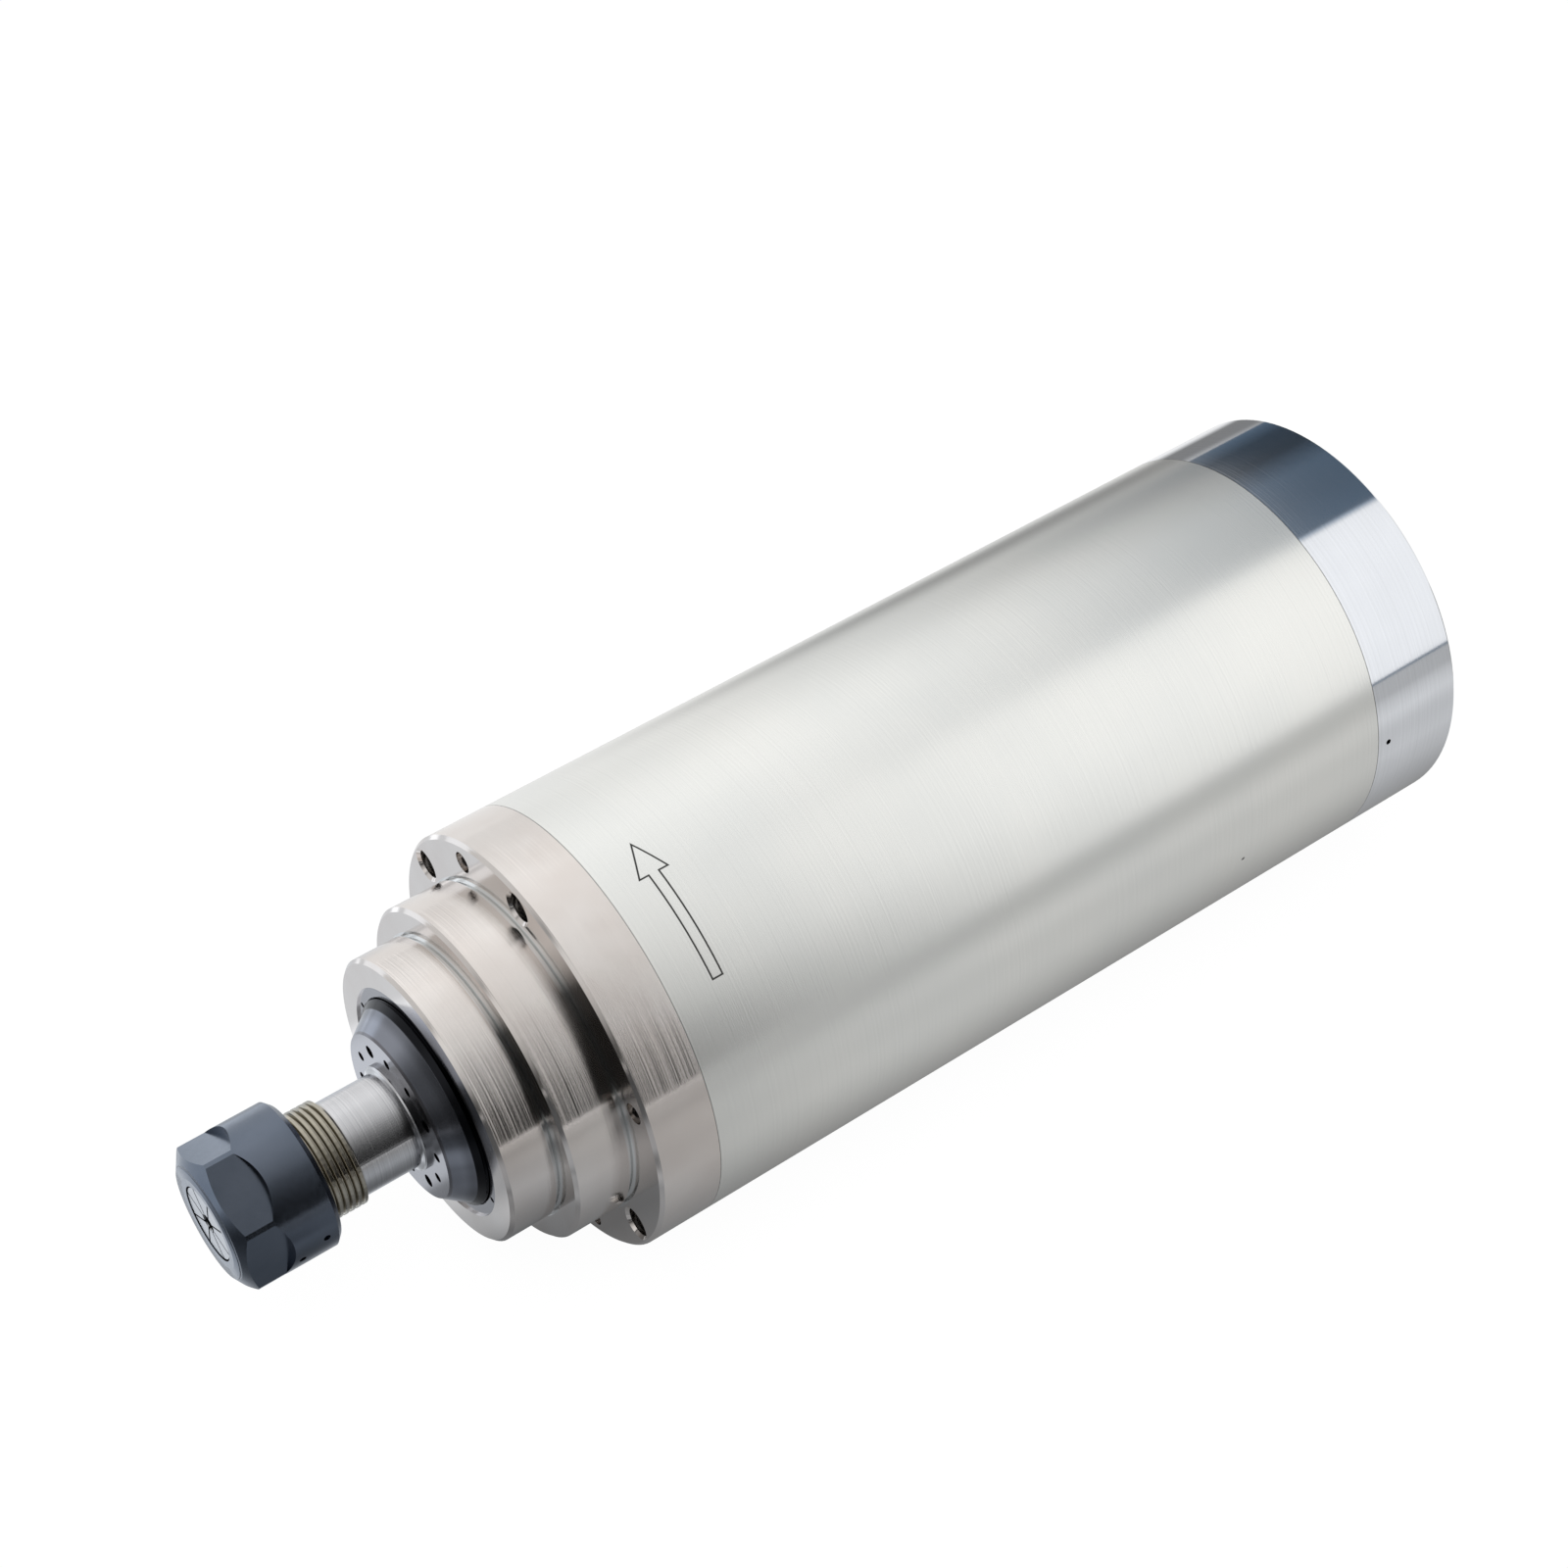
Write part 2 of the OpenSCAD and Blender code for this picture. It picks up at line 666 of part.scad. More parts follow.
module retaining_ring() {
    inside = slinger_d / 2 + labyrinth_gap;
    hub = slinger_hub_r + labyrinth_gap;
    web_x = slinger_back_x + labyrinth_gap;
    notch_r = inside + (ring_thread_r - inside) * 0.4;
    color("#bdbab6")
    difference() {
        turned([
            [inside, ring_x],
            [ring_thread_r - ring_gap, ring_x],
            [ring_thread_r - ring_gap, bearing_a_x],
            [hub, bearing_a_x],
            [hub, web_x],
            [inside, web_x]
        ]);
        for (angle = [ring_hole_angle, ring_hole_angle + 180])
            clocked(angle, notch_r)
                rod(ring_x - eps, ring_hole_depth + eps, ring_hole_d / 2);
    }
}

module flange_grub_screws() {
    color("#8d9096")
    for (angle = jack_angles)
        clocked(angle, hole_circle_r)
            difference() {
                rod(grub_recess, grub_length, jack_hole_d / 2 - ring_gap);
                translate([grub_recess - eps, 0, 0])
                    rotate([0, 90, 0])
                        cylinder(h = grub_length / 2 + eps, d = jack_hole_d * 0.57, $fn = 6);
            }
}

// Outer ring of an angular contact bearing: one land is relieved
module bearing_outer_ring(x, width, pitch_r, ball_d, land_r, outer_r) {
    race_r = ball_d / 2 + race_gap;
    relief = ball_d * 0.08;
    difference() {
        turned([
            [land_r, x],
            [outer_r, x],
            [outer_r, x + width],
            [land_r + relief, x + width],
            [land_r, x + width * 0.62]
        ]);
        race(x + width / 2, pitch_r, race_r);
    }
}

// Inner ring of an angular contact bearing
module bearing_inner_ring(x, width, pitch_r, ball_d, land_r, bore_radius) {
    difference() {
        ring(x, width, bore_radius, land_r);
        race(x + width / 2, pitch_r, ball_d / 2 + race_gap);
    }
}

// The torus that the balls run in
module race(x, pitch_r, race_r) {
    translate([x, 0, 0])
        rotate([0, 90, 0])
            rotate_extrude()
                translate([pitch_r, 0])
                    circle(r = race_r, $fn = 48);
}

// Machined cage with one round pocket for each ball
module bearing_cage(x, width, pitch_r, ball_d, land_inner_r, land_outer_r, count) {
    cage_length = ball_d * 1.35;
    inner = land_inner_r + cage_gap * 3;
    outer = land_outer_r - cage_gap;
    difference() {
        ring(x + (width - cage_length) / 2, cage_length, inner, outer);
        for (i = [0:count - 1])
            clocked(i * 360 / count, inner - 0.8)
                translate([x + width / 2, 0, 0])
                    rotate([-90, 0, 0])
                        cylinder(h = outer - inner + 2, r = ball_d / 2 + pocket_gap);
    }
}

module bearing_balls(x, width, pitch_r, ball_d, count) {
    for (i = [0:count - 1])
        clocked(i * 360 / count, pitch_r)
            translate([x + width / 2, 0, 0])
                sphere(d = ball_d, $fn = 32);
}

module front_outer_rings() {
    color("#c9ccd0")
    for (x = front_places)
        bearing_outer_ring(
            x, front_width, front_pitch_r, front_ball_d, front_land_outer_r, front_outer_d / 2
        );
}

module front_outer_spacer() {
    color("#a7aab0")
    ring(spacer_x, front_spacer_length, front_land_outer_r, front_outer_d / 2);
}

module front_inner_rings() {
    color("#c9ccd0")
    for (x = front_places)
        bearing_inner_ring(
            x, front_width, front_pitch_r, front_ball_d, front_land_inner_r, front_bore_d / 2 + seat_fit
        );
}

module front_inner_spacer() {
    color("#a7aab0")
    ring(spacer_x, front_spacer_length, front_bore_d / 2 + seat_fit, front_land_inner_r);
}

module front_cages() {
    color("#b98a4a")
    for (x = front_places)
        bearing_cage(
            x, front_width, front_pitch_r, front_ball_d,
            front_land_inner_r, front_land_outer_r, front_ball_count
        );
}

module front_balls() {
    color("#e6e8ea")
    for (x = front_places)
        bearing_balls(x, front_width, front_pitch_r, front_ball_d, front_ball_count);
}

module rear_outer_rings() {
    color("#c9ccd0")
    for (x = rear_places)
        bearing_outer_ring(x, rear_width, rear_pitch_r, rear_ball_d, rear_land_outer_r, rear_outer_d / 2);
}

module rear_inner_rings() {
    color("#c9ccd0")
    for (x = rear_places)
        bearing_inner_ring(
            x, rear_width, rear_pitch_r, rear_ball_d, rear_land_inner_r, rear_bore_d / 2 + seat_fit
        );
}

module rear_cages() {
    color("#b98a4a")
    for (x = rear_places)
        bearing_cage(
            x, rear_width, rear_pitch_r, rear_ball_d, rear_land_inner_r, rear_land_outer_r, rear_ball_count
        );
}

module rear_balls() {
    color("#e6e8ea")
    for (x = rear_places)
        bearing_balls(x, rear_width, rear_pitch_r, rear_ball_d, rear_ball_count);
}

module housing_o_rings() {
    color("#1b1b1d")
    for (x = spigot_groove_places)
        o_ring(x, inner_r);
}

module outer_sleeve() {
    color("#d5d7d6")
    ring(seam_x, sleeve_length, bore_r, body_r);
}

module water_jacket() {
    crossing_from = dam_to + 1;
    crossing_to = dam_from - 1 - crossing_width;
    drill_x = rear_flange_x - jacket_land - passage_d;
    color("#b9bdc2")
    difference() {
        ring(spigot_x, rear_flange_x - spigot_x, jacket_bore_r, inner_r);
        for (i = [0:channel_count - 1])
            difference() {
                ring(channels_x + i * channel_pitch, channel_width, channel_floor_r, inner_r + eps);
                wedge(channels_x - eps, channels_length + 2 * eps, dam_from, dam_to);
            }
        for (i = [0:channel_count - 2])
            let (from = i % 2 == 0 ? crossing_from : crossing_to)
                ring_sector(
                    channels_x + i * channel_pitch + channel_width / 2, channel_pitch, channel_floor_r,
                    inner_r + eps, from, from + crossing_width
                );
        // The first channel opens into the return channel in the dam
        ring_sector(
            channels_x + 1, channels_length - 1, channel_floor_r, inner_r + eps,
            dam_angle - return_width / 2, dam_angle + return_width / 2
        );
        ring_sector(
            channels_x + 1, channel_width - 2, channel_floor_r, inner_r + eps,
            dam_from - 2, dam_angle
        );
        for (angle = [inlet_angle, outlet_angle])
            clocked(angle, passage_r)
                rod(drill_x, rear_flange_x - drill_x + eps, passage_d / 2);
        for (x = jacket_groove_places)
            o_ring_groove(x, inner_r);
        for (angle = tie_rod_angles)
            clocked(angle, tie_rod_r)
                rod(spigot_x - eps, rear_flange_x - spigot_x + 2 * eps, tie_rod_d / 2 + tie_rod_gap);
    }
}

module jacket_o_rings() {
    color("#1b1b1d")
    for (x = jacket_groove_places)
        o_ring(x, inner_r);
}

module tie_rods() {
    color("#7d8087")
    for (angle = tie_rod_angles)
        clocked(angle, tie_rod_r) {
            rod(spigot_x - tie_rod_hold, tie_rod_seat_x - spigot_x + tie_rod_hold, tie_rod_d / 2);
            difference() {
                rod(tie_rod_seat_x, tie_rod_head_length, tie_rod_head_d / 2);
                translate([rear_flange_end_x - tie_rod_head_length / 2, 0, 0])
                    rotate([0, 90, 0])
                        cylinder(h = tie_rod_head_length, d = tie_rod_d * 0.8, $fn = 6);
            }
        }
}

module stator_core() {
    color("#6f7378")
    translate([core_x, 0, 0])
        rotate([90, 0, 90])
            linear_extrude(core_length)
                difference() {
                    circle(r = stator_r);
                    circle(d = stator_bore_d);
                    for (i = [0:stator_slots - 1])
                        rotate(i * 360 / stator_slots) {
                            translate([slot_start_r, -stator_slot_width / 2])
                                square([slot_end_r - slot_start_r, stator_slot_width]);
                            translate([stator_bore_d / 2 - eps, -slot_mouth_width / 2])
                                square([slot_mouth_depth + 2 * eps, slot_mouth_width]);
                        }
                }
}

module stator_windings() {
    bar_width = stator_slot_width - 2 * slot_liner;
    bar_start_r = slot_start_r + wedge_thickness + 2 * slot_liner;
    bar_end_r = slot_end_r - slot_liner;
    bundle_inner_r = bar_start_r - 0.4;
    bundle_outer_r = bar_end_r + 2;
    bend = min(2.5, (bundle_outer_r - bundle_inner_r) * 0.35);
    color("#b5673a") {
        for (i = [0:stator_slots - 1])
            rotate([i * 360 / stator_slots, 0, 0])
                translate([core_x - winding_reach, bar_start_r, -bar_width / 2])
                    cube([core_length + 2 * winding_reach, bar_end_r - bar_start_r, bar_width]);
        for (x = [core_x - 1 - end_turn_length, core_end_x + 1])
            turned([
                [bundle_inner_r + bend, x],
                [bundle_outer_r - bend, x],
                [bundle_outer_r, x + bend],
                [bundle_outer_r, x + end_turn_length - bend],
                [bundle_outer_r - bend, x + end_turn_length],
                [bundle_inner_r + bend, x + end_turn_length],
                [bundle_inner_r, x + end_turn_length - bend],
                [bundle_inner_r, x + bend]
            ]);
    }
}

module slot_wedges() {
    wedge_width = stator_slot_width - slot_liner;
    color("#d9d2b8")
    for (i = [0:stator_slots - 1])
        rotate([i * 360 / stator_slots, 0, 0])
            translate([core_x, slot_start_r, -wedge_width / 2])
                cube([core_length, wedge_thickness, wedge_width]);
}

module lead_wires() {
    drop = lead_r - lead_inner_r - 2 * lead_bend;
    color("#b03a2e")
    for (angle = lead_angles)
        rotate([angle, 0, 0]) {
            translate([0, lead_r, 0])
                rod(lead_start_x, lead_turn_x - lead_start_x, lead_d / 2);
            translate([lead_turn_x, lead_r - lead_bend, 0])
                lead_elbow();
            translate([lead_turn_x + lead_bend, lead_inner_r + lead_bend, 0])
                rotate([-90, 0, 0])
                    cylinder(h = drop, d = lead_d);
            translate([lead_turn_x + 2 * lead_bend, lead_inner_r + lead_bend, 0])
                rotate([0, 0, 180])
                    lead_elbow();
            translate([0, lead_inner_r, 0])
                rod(
                    lead_turn_x + 2 * lead_bend,
                    connector_back_x - lead_turn_x - 2 * lead_bend,
                    lead_d / 2
                );
        }
}

// A quarter turn of a lead, from straight back to straight inwards
module lead_elbow() {
    rotate_extrude(angle = 90)
        translate([lead_bend, 0])
            circle(d = lead_d, $fn = 32);
}

module rear_housing() {
    color("#aeb2b8")
    difference() {
        turned([
            [hub_bore_r, hub_x],
            [hub_r - edge_chamfer, hub_x],
            [hub_r, hub_x + edge_chamfer],
            [hub_r, rear_flange_x],
            [inner_r, rear_flange_x],
            [inner_r, rear_flange_end_x],
            [rear_outer_d / 2 + seat_fit, rear_flange_end_x],
            [rear_outer_d / 2 + seat_fit, spring_x],
            [hub_bore_r, spring_x]
        ]);
        for (angle = lead_angles)
            clocked(angle, lead_r)
                rod(hub_x - eps, rear_flange_end_x - hub_x + 2 * eps, wire_hole_d / 2);
        for (angle = [inlet_angle, outlet_angle])
            clocked(angle, passage_r)
                rod(rear_flange_x - eps, rear_flange_length + 2 * eps, passage_d / 2);
        for (angle = tie_rod_angles)
            clocked(angle, tie_rod_r) {
                rod(rear_flange_x - eps, rear_flange_length + 2 * eps, tie_rod_d / 2 + tie_rod_gap);
                rod(tie_rod_seat_x, tie_rod_head_length + eps, tie_rod_head_d / 2 + tie_rod_gap);
            }
        for (angle = cap_screw_angles)
            clocked(angle, cap_screw_r)
                rod(
                    cap_screw_tip_x - 1,
                    rear_flange_end_x - cap_screw_tip_x + 1 + eps,
                    cap_screw_d / 2 + seat_fit
                );
    }
}

module preload_springs() {
    cone_height = spring_height / 2 - spring_thickness - 0.05;
    inner = rear_bore_d / 2 + 5.5;
    outer = rear_outer_d / 2 - 0.2;
    color("#8f9399") {
        turned([
            [inner, spring_x + cone_height],
            [outer, spring_x],
            [outer, spring_x + spring_thickness],
            [inner, spring_x + cone_height + spring_thickness]
        ]);
        turned([
            [inner, rear_a_x - cone_height - spring_thickness],
            [outer, rear_a_x - spring_thickness],
            [outer, rear_a_x],
            [inner, rear_a_x - cone_height]
        ]);
    }
}

// Rear cap: a shell with a cavity for the leads and drilled passages for the water
module rear_cap() {
    color("#e3e6ea")
    difference() {
        turned([
            [cap_cavity_r, rear_flange_end_x],
            [inner_r, rear_flange_end_x],
            [inner_r, cap_seam_x],
            [body_r, cap_seam_x],
            [body_r, rear_x - cap_chamfer],
            [body_r - cap_chamfer, rear_x],
            [0, rear_x],
            [0, cavity_end_x],
            [cap_cavity_r, cavity_end_x]
        ]);
        rod(cavity_end_x - eps, rear_x - cavity_end_x + 2 * eps, connector_body_d / 2 + seat_fit);
        for (angle = cap_screw_angles)
            clocked(angle, cap_screw_r) {
                rod(rear_flange_end_x - eps, cap_length + cap_spigot, cap_screw_d / 2 + cap_hole_gap);
                rod(cap_screw_seat_x, counterbore_depth + eps, cap_screw_head_d / 2 + cap_hole_gap);
            }
        for (angle = [inlet_angle, outlet_angle]) {
            clocked(angle, fitting_r)
                rod(fitting_port_x, rear_x - fitting_port_x + eps, fitting_thread_d / 2 + ring_gap);
            clocked(angle, passage_r)
                rod(rear_flange_end_x - eps, crossing_x + passage_d - rear_flange_end_x, passage_d / 2);
            clocked(angle, fitting_r)
                translate([crossing_x, 0, 0])
                    rotate([-90, 0, 0])
                        cylinder(h = passage_r - fitting_r, d = crossing_d);
        }
        clocked(vent_angle, body_r - vent_depth)
            translate([cap_seam_x + vent_offset, 0, 0])
                rotate([-90, 0, 0])
                    cylinder(h = vent_depth + eps, d = vent_d);
    }
}

module cap_screws() {
    color("#4a4d52")
    for (angle = cap_screw_angles)
        clocked(angle, cap_screw_r) {
            rod(cap_screw_tip_x, cap_screw_length, cap_screw_d / 2);
            difference() {
                rod(cap_screw_seat_x, cap_screw_d, cap_screw_head_d / 2);
                translate([cap_screw_seat_x + cap_screw_d / 2, 0, 0])
                    rotate([0, 90, 0])
                        cylinder(h = cap_screw_d, d = cap_screw_d * 0.92, $fn = 6);
            }
        }
}

module connector_shell() {
    barrel_bore = connector_d / 2 - connector_wall;
    color("#c4c8cc")
    difference() {
        union() {
            rod(connector_back_x, rear_x - connector_back_x, connector_body_d / 2);
            difference() {
                rod(rear_x, connector_flange, connector_flange_d / 2);
                for (side = [-1, 1])
                    translate([rear_x - eps, side * connector_flange_d * 0.46, -connector_flange_d / 2])
                        mirror([0, side < 0 ? 1 : 0, 0])
                            cube([connector_flange + 2 * eps, connector_flange_d, connector_flange_d]);
            }
            rod(rear_x, connector_reach, connector_d / 2);
        }
        rod(insert_end_x, barrel_end_x - insert_end_x + eps, barrel_bore);
        rod(connector_back_x - eps, insert_end_x - connector_back_x + 2 * eps, insert_r + ring_gap);
    }
}

module connector_insert() {
    color("#26282b")
    difference() {
        rod(connector_back_x, insert_end_x - connector_back_x, insert_r);
        for (angle = pin_angles)
            clocked(angle, pin_circle_r)
                rod(
                    connector_back_x - eps,
                    insert_end_x - connector_back_x + 2 * eps,
                    pin_d / 2 + seat_fit
                );
    }
}

module connector_pins() {
    color("#d8b65a")
    for (angle = pin_angles)
        clocked(angle, pin_circle_r)
            rod(connector_back_x, barrel_end_x - 2 - connector_back_x, pin_d / 2);
}

// Water fittings: a threaded stem, a hexagon and a plain hose tail with three grooves
module water_fittings() {
    tail_r = hose_tail_d / 2;
    groove = 0.3;
    color("#c9b27a")
    for (angle = [inlet_angle, outlet_angle])
        clocked(angle, fitting_r)
            difference() {
                union() {
                    rod(
                        rear_x - fitting_thread_length,
                        fitting_thread_length + washer_thickness,
                        fitting_thread_d / 2
                    );
                    translate([hex_x, 0, 0])
                        rotate([0, 90, 0])
                            cylinder(h = fitting_hex_length, r = fitting_flats / 2 / cos(30), $fn = 6);
                    turned([
                        [0, tail_x],
                        [tail_r, tail_x],
                        [tail_r, hose_tail_end_x - groove * 2],
                        [tail_r - groove * 2, hose_tail_end_x],
                        [0, hose_tail_end_x]
                    ]);
                }
                rod(
                    rear_x - fitting_thread_length - eps,
                    hose_tail_end_x - rear_x + fitting_thread_length + 2 * eps,
                    fitting_bore_d / 2
                );
                for (share = [0.3, 0.5, 0.7])
                    ring(tail_x + hose_tail_length * share, 1, tail_r - groove, tail_r + eps);
            }
}

module fitting_washers() {
    color("#b87333")
    for (angle = [inlet_angle, outlet_angle])
        clocked(angle, fitting_r)
            ring(rear_x, washer_thickness, fitting_thread_d / 2 + ring_gap, fitting_flats / 2 + 0.6);
}

// Radius of the taper in the shaft at a place on the axis
function taper_r(x) = collet_d / 2 + taper_gap - (x - collet_taper_x) * tan(taper_angle);

module spindle_shaft() {
    seat_r = front_bore_d / 2;
    draw_hole_r = taper_r(taper_end_x) - 0.4;
    color("#c2c4c7")
    difference() {
        turned([
            [0, shaft_nose_x],
            [nut_thread_d / 2 - thread_chamfer, shaft_nose_x],
            [nut_thread_d / 2, shaft_nose_x + thread_chamfer],
            [nut_thread_d / 2, thread_root_x - thread_chamfer],
            [shank_d / 2, thread_root_x],
            [shank_d / 2, slinger_face_x - 1.6],
            [seat_r - 0.3, slinger_face_x - 1.2],
            [seat_r, slinger_face_x - 0.9],
            [seat_r, shoulder_x],
            [front_land_inner_r - 0.3, shoulder_x],
            [front_land_inner_r - 0.3, shoulder_x + shoulder_length + 1],
            [collar_d / 2, shoulder_x + shoulder_length + 1],
            [collar_d / 2, core_seat_x],
            [core_seat_d / 2, core_seat_x],
            [core_seat_d / 2, tail_step_x],
            [tail_d / 2, tail_step_x],
            [tail_d / 2, hub_x - 1],
            [rear_land_inner_r - 0.3, hub_x + 1],
            [rear_land_inner_r - 0.3, rear_a_x],
            [rear_bore_d / 2, rear_a_x],
            [rear_bore_d / 2, tail_end_x - 0.5],
            [rear_bore_d / 2 - 0.5, tail_end_x],
            [0, tail_end_x]
        ]);
        turned([
            [0, shaft_nose_x - eps],
            [taper_r(shaft_nose_x - eps), shaft_nose_x - eps],
            [taper_r(taper_end_x), taper_end_x],
            [0, taper_end_x]
        ]);
        turned([
            [0, taper_end_x - eps],
            [draw_hole_r, taper_end_x - eps],
            [draw_hole_r, draw_hole_end_x],
            [0, draw_hole_end_x + draw_hole_r * tan(30)]
        ]);
    }
}

module slinger() {
    hub = slinger_hub_r;
    color("#2c2f34")
    difference() {
        turned([
            [front_bore_d / 2 + seat_fit, slinger_face_x],
            [slinger_face_d / 2, slinger_face_x],
            [slinger_cone_r, nose_x - 1.6],
            [slinger_d / 2, nose_x - 0.3],
            [slinger_d / 2, slinger_back_x],
            [hub, slinger_back_x],
            [hub, bearing_a_x],
            [front_bore_d / 2 + seat_fit, bearing_a_x]
        ]);
        for (i = [0:3])
            clocked(slinger_clock + i * 90, slinger_pcd / 2)
                rod(slinger_face_x - eps, slinger_hole_depth + eps, spanner_hole_d / 2);
        for (i = [0:3])
            for (side = [-30, 30])
                clocked(slinger_clock + i * 90 + side, slinger_pcd / 2)
                    rod(slinger_face_x - eps, slinger_hole_depth + eps, balance_hole_d / 2);
    }
}

module rotor_core() {
    color("#6a6d72")
    difference() {
        ring(core_x, core_length, core_seat_d / 2 + seat_fit, rotor_r);
        for (i = [0:rotor_bars - 1])
            clocked(i * 360 / rotor_bars, bar_circle_r)
                rod(core_x - eps, core_length + 2 * eps, rotor_bar_d / 2 + seat_fit);
    }
}

module rotor_cage() {
    color("#c8cbd0") {
        for (i = [0:rotor_bars - 1])
            clocked(i * 360 / rotor_bars, bar_circle_r)
                rod(core_x - 1, core_length + 2, rotor_bar_d / 2);
        for (x = [core_x - end_ring_length, core_end_x])
            ring(x, end_ring_length, core_seat_d / 2 + 0.2, rotor_r - 0.5);
    }
}

module rear_lock_nut() {
    slot = 4;
    color("#55585e")
    difference() {
        ring(rear_b_end_x, lock_nut_length, rear_bore_d / 2 + seat_fit, lock_nut_d / 2);
        for (i = [0:3])
            rotate([45 + i * 90, 0, 0])
                translate([rear_b_end_x + lock_nut_length / 2, lock_nut_d / 2 - 2, -slot / 2])
                    cube([lock_nut_length, slot, slot]);
    }
}

// Collet: a slotted 8 degree cone with a collar and an extraction groove at its front
module collet() {
    color("#b4b7bb")
    difference() {
        turned([
            [collet_bore_d / 2 + 0.3, collet_x],
            [collet_face_d / 2, collet_x],
            [collet_face_d / 2, collet_rim_x],
            [collet_collar_d / 2, collet_bevel_x],
            [collet_collar_d / 2, collet_x + collet_collar_length],
            [collet_groove_d / 2, collet_x + collet_collar_length],
            [collet_groove_d / 2, collet_x + collet_collar_length + collet_groove_length],
            [collet_d / 2 - 0.6, collet_x + collet_collar_length + collet_groove_length],
            [collet_d / 2, collet_taper_x],
            [collet_end_r + 0.4 * tan(taper_angle), collet_end_x - 0.4],
            [collet_end_r - 0.3, collet_end_x],
            [collet_bore_d / 2 + 1.2, collet_end_x],
            [collet_bore_d / 2 + 1.2, collet_x + grip_length],
            [collet_bore_d / 2, collet_x + grip_length],
            [collet_bore_d / 2, collet_x + 0.3]
        ]);
        for (i = [0:collet_slots - 1]) {
            rotate([collet_clock + i * 360 / collet_slots, 0, 0])
                translate([collet_x - eps, 0, -slot_width / 2])
                    cube([collet_length - slot_end + eps, collet_d, slot_width]);
            rotate([collet_clock + (i + 0.5) * 360 / collet_slots, 0, 0])
                translate([collet_taper_x + slot_start, 0, -slot_width / 2])
                    cube([collet_length, collet_d, slot_width]);
        }
    }
}

// Nut: a turned body with six milled flats, each with an end rounded by the cutter
module nut_flat() {
    cutter_centre_x = nut_x + nut_flat_length + corner_drop - flat_cutter_r;
    translate([cutter_centre_x, nut_flats / 2, 0])
        rotate([-90, 0, 0])
            cylinder(h = nut_d, r = flat_cutter_r);
    translate([cutter_centre_x - nut_length, nut_flats / 2, -flat_cutter_r])
        cube([nut_length, nut_d, 2 * flat_cutter_r]);
}

module collet_nut() {
    color("#41474f")
    difference() {
        turned([
            [mouth_r, nut_x],
            [nut_face_d / 2, nut_x],
            [nut_d / 2, nut_x + nut_front_chamfer],
            [nut_d / 2, nut_rear_x - nut_rear_chamfer],
            [nut_d / 2 - nut_rear_chamfer, nut_rear_x],
            [nut_bore_r + thread_chamfer, nut_rear_x],
            [nut_bore_r, nut_rear_x - thread_chamfer],
            [nut_bore_r, ring_seat_end_x],
            [ring_seat_r, ring_seat_end_x],
            [ring_seat_r, seat_end_x],
            [seat_end_r, seat_end_x],
            [seat_end_r, cone_end_x],
            [mouth_r, cone_x]
        ]);
        for (i = [0:5])
            rotate([nut_clock + 30 + i * 60, 0, 0])
                nut_flat();
        // Two shallow drillings that balance the nut
        for (place = nut_drillings)
            clocked(place[1], nut_d / 2 - nut_drill_depth)
                translate([nut_rear_x - place[0], 0, 0])
                    rotate([-90, 0, 0])
                        cylinder(h = nut_drill_depth + eps, d = nut_drill_d);
    }
}

module extraction_ring() {
    side_gap = 0.15;
    slit = 1.5;
    color("#9a9da2")
    difference() {
        ring(
            seat_end_x + side_gap, collet_groove_length - 3 * side_gap,
            collet_groove_d / 2 + 0.3, ring_seat_r - ring_gap
        );
        translate([seat_end_x, 0, -slit / 2])
            cube([collet_groove_length, nut_d, slit]);
    }
}

front_housing();
retaining_ring();
flange_grub_screws();
front_outer_rings();
front_outer_spacer();
housing_o_rings();
outer_sleeve();
water_jacket();
jacket_o_rings();
tie_rods();
stator_core();
stator_windings();
slot_wedges();
lead_wires();
rear_housing();
rear_outer_rings();
preload_springs();
rear_cap();
cap_screws();
connector_shell();
connector_insert();
connector_pins();
water_fittings();
fitting_washers();
spindle_shaft();
slinger();
front_inner_rings();
front_inner_spacer();
rotor_core();
rotor_cage();
rear_inner_rings();
rear_lock_nut();
front_cages();
front_balls();
rear_cages();
rear_balls();
collet();
collet_nut();
extraction_ring();
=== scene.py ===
import math

import bmesh
import bpy
from mathutils import Matrix, Vector


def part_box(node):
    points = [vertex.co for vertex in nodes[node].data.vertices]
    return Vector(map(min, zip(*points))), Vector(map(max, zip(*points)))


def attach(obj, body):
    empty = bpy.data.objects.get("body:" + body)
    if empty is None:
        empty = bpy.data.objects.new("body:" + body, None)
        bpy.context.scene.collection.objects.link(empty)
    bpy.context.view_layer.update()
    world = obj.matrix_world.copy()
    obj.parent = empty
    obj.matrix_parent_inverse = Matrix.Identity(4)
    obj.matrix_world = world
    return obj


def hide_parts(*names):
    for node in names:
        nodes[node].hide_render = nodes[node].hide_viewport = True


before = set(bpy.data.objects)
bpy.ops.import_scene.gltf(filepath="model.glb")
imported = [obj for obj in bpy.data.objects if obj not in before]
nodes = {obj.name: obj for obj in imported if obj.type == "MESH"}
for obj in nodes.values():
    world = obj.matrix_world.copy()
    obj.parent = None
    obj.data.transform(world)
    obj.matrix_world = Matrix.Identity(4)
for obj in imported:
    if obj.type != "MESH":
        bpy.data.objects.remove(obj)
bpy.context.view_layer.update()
mm = 0.001
white = (1.0, 1.0, 1.0, 1.0)


def srgb(r, g, b):
    # a colour of 0-255 to linear light
    def one(v):
        v = v / 255
        return v / 12.92 if v <= 0.04045 else ((v + 0.055) / 1.055) ** 2.4
    return (one(r), one(g), one(b), 1.0)


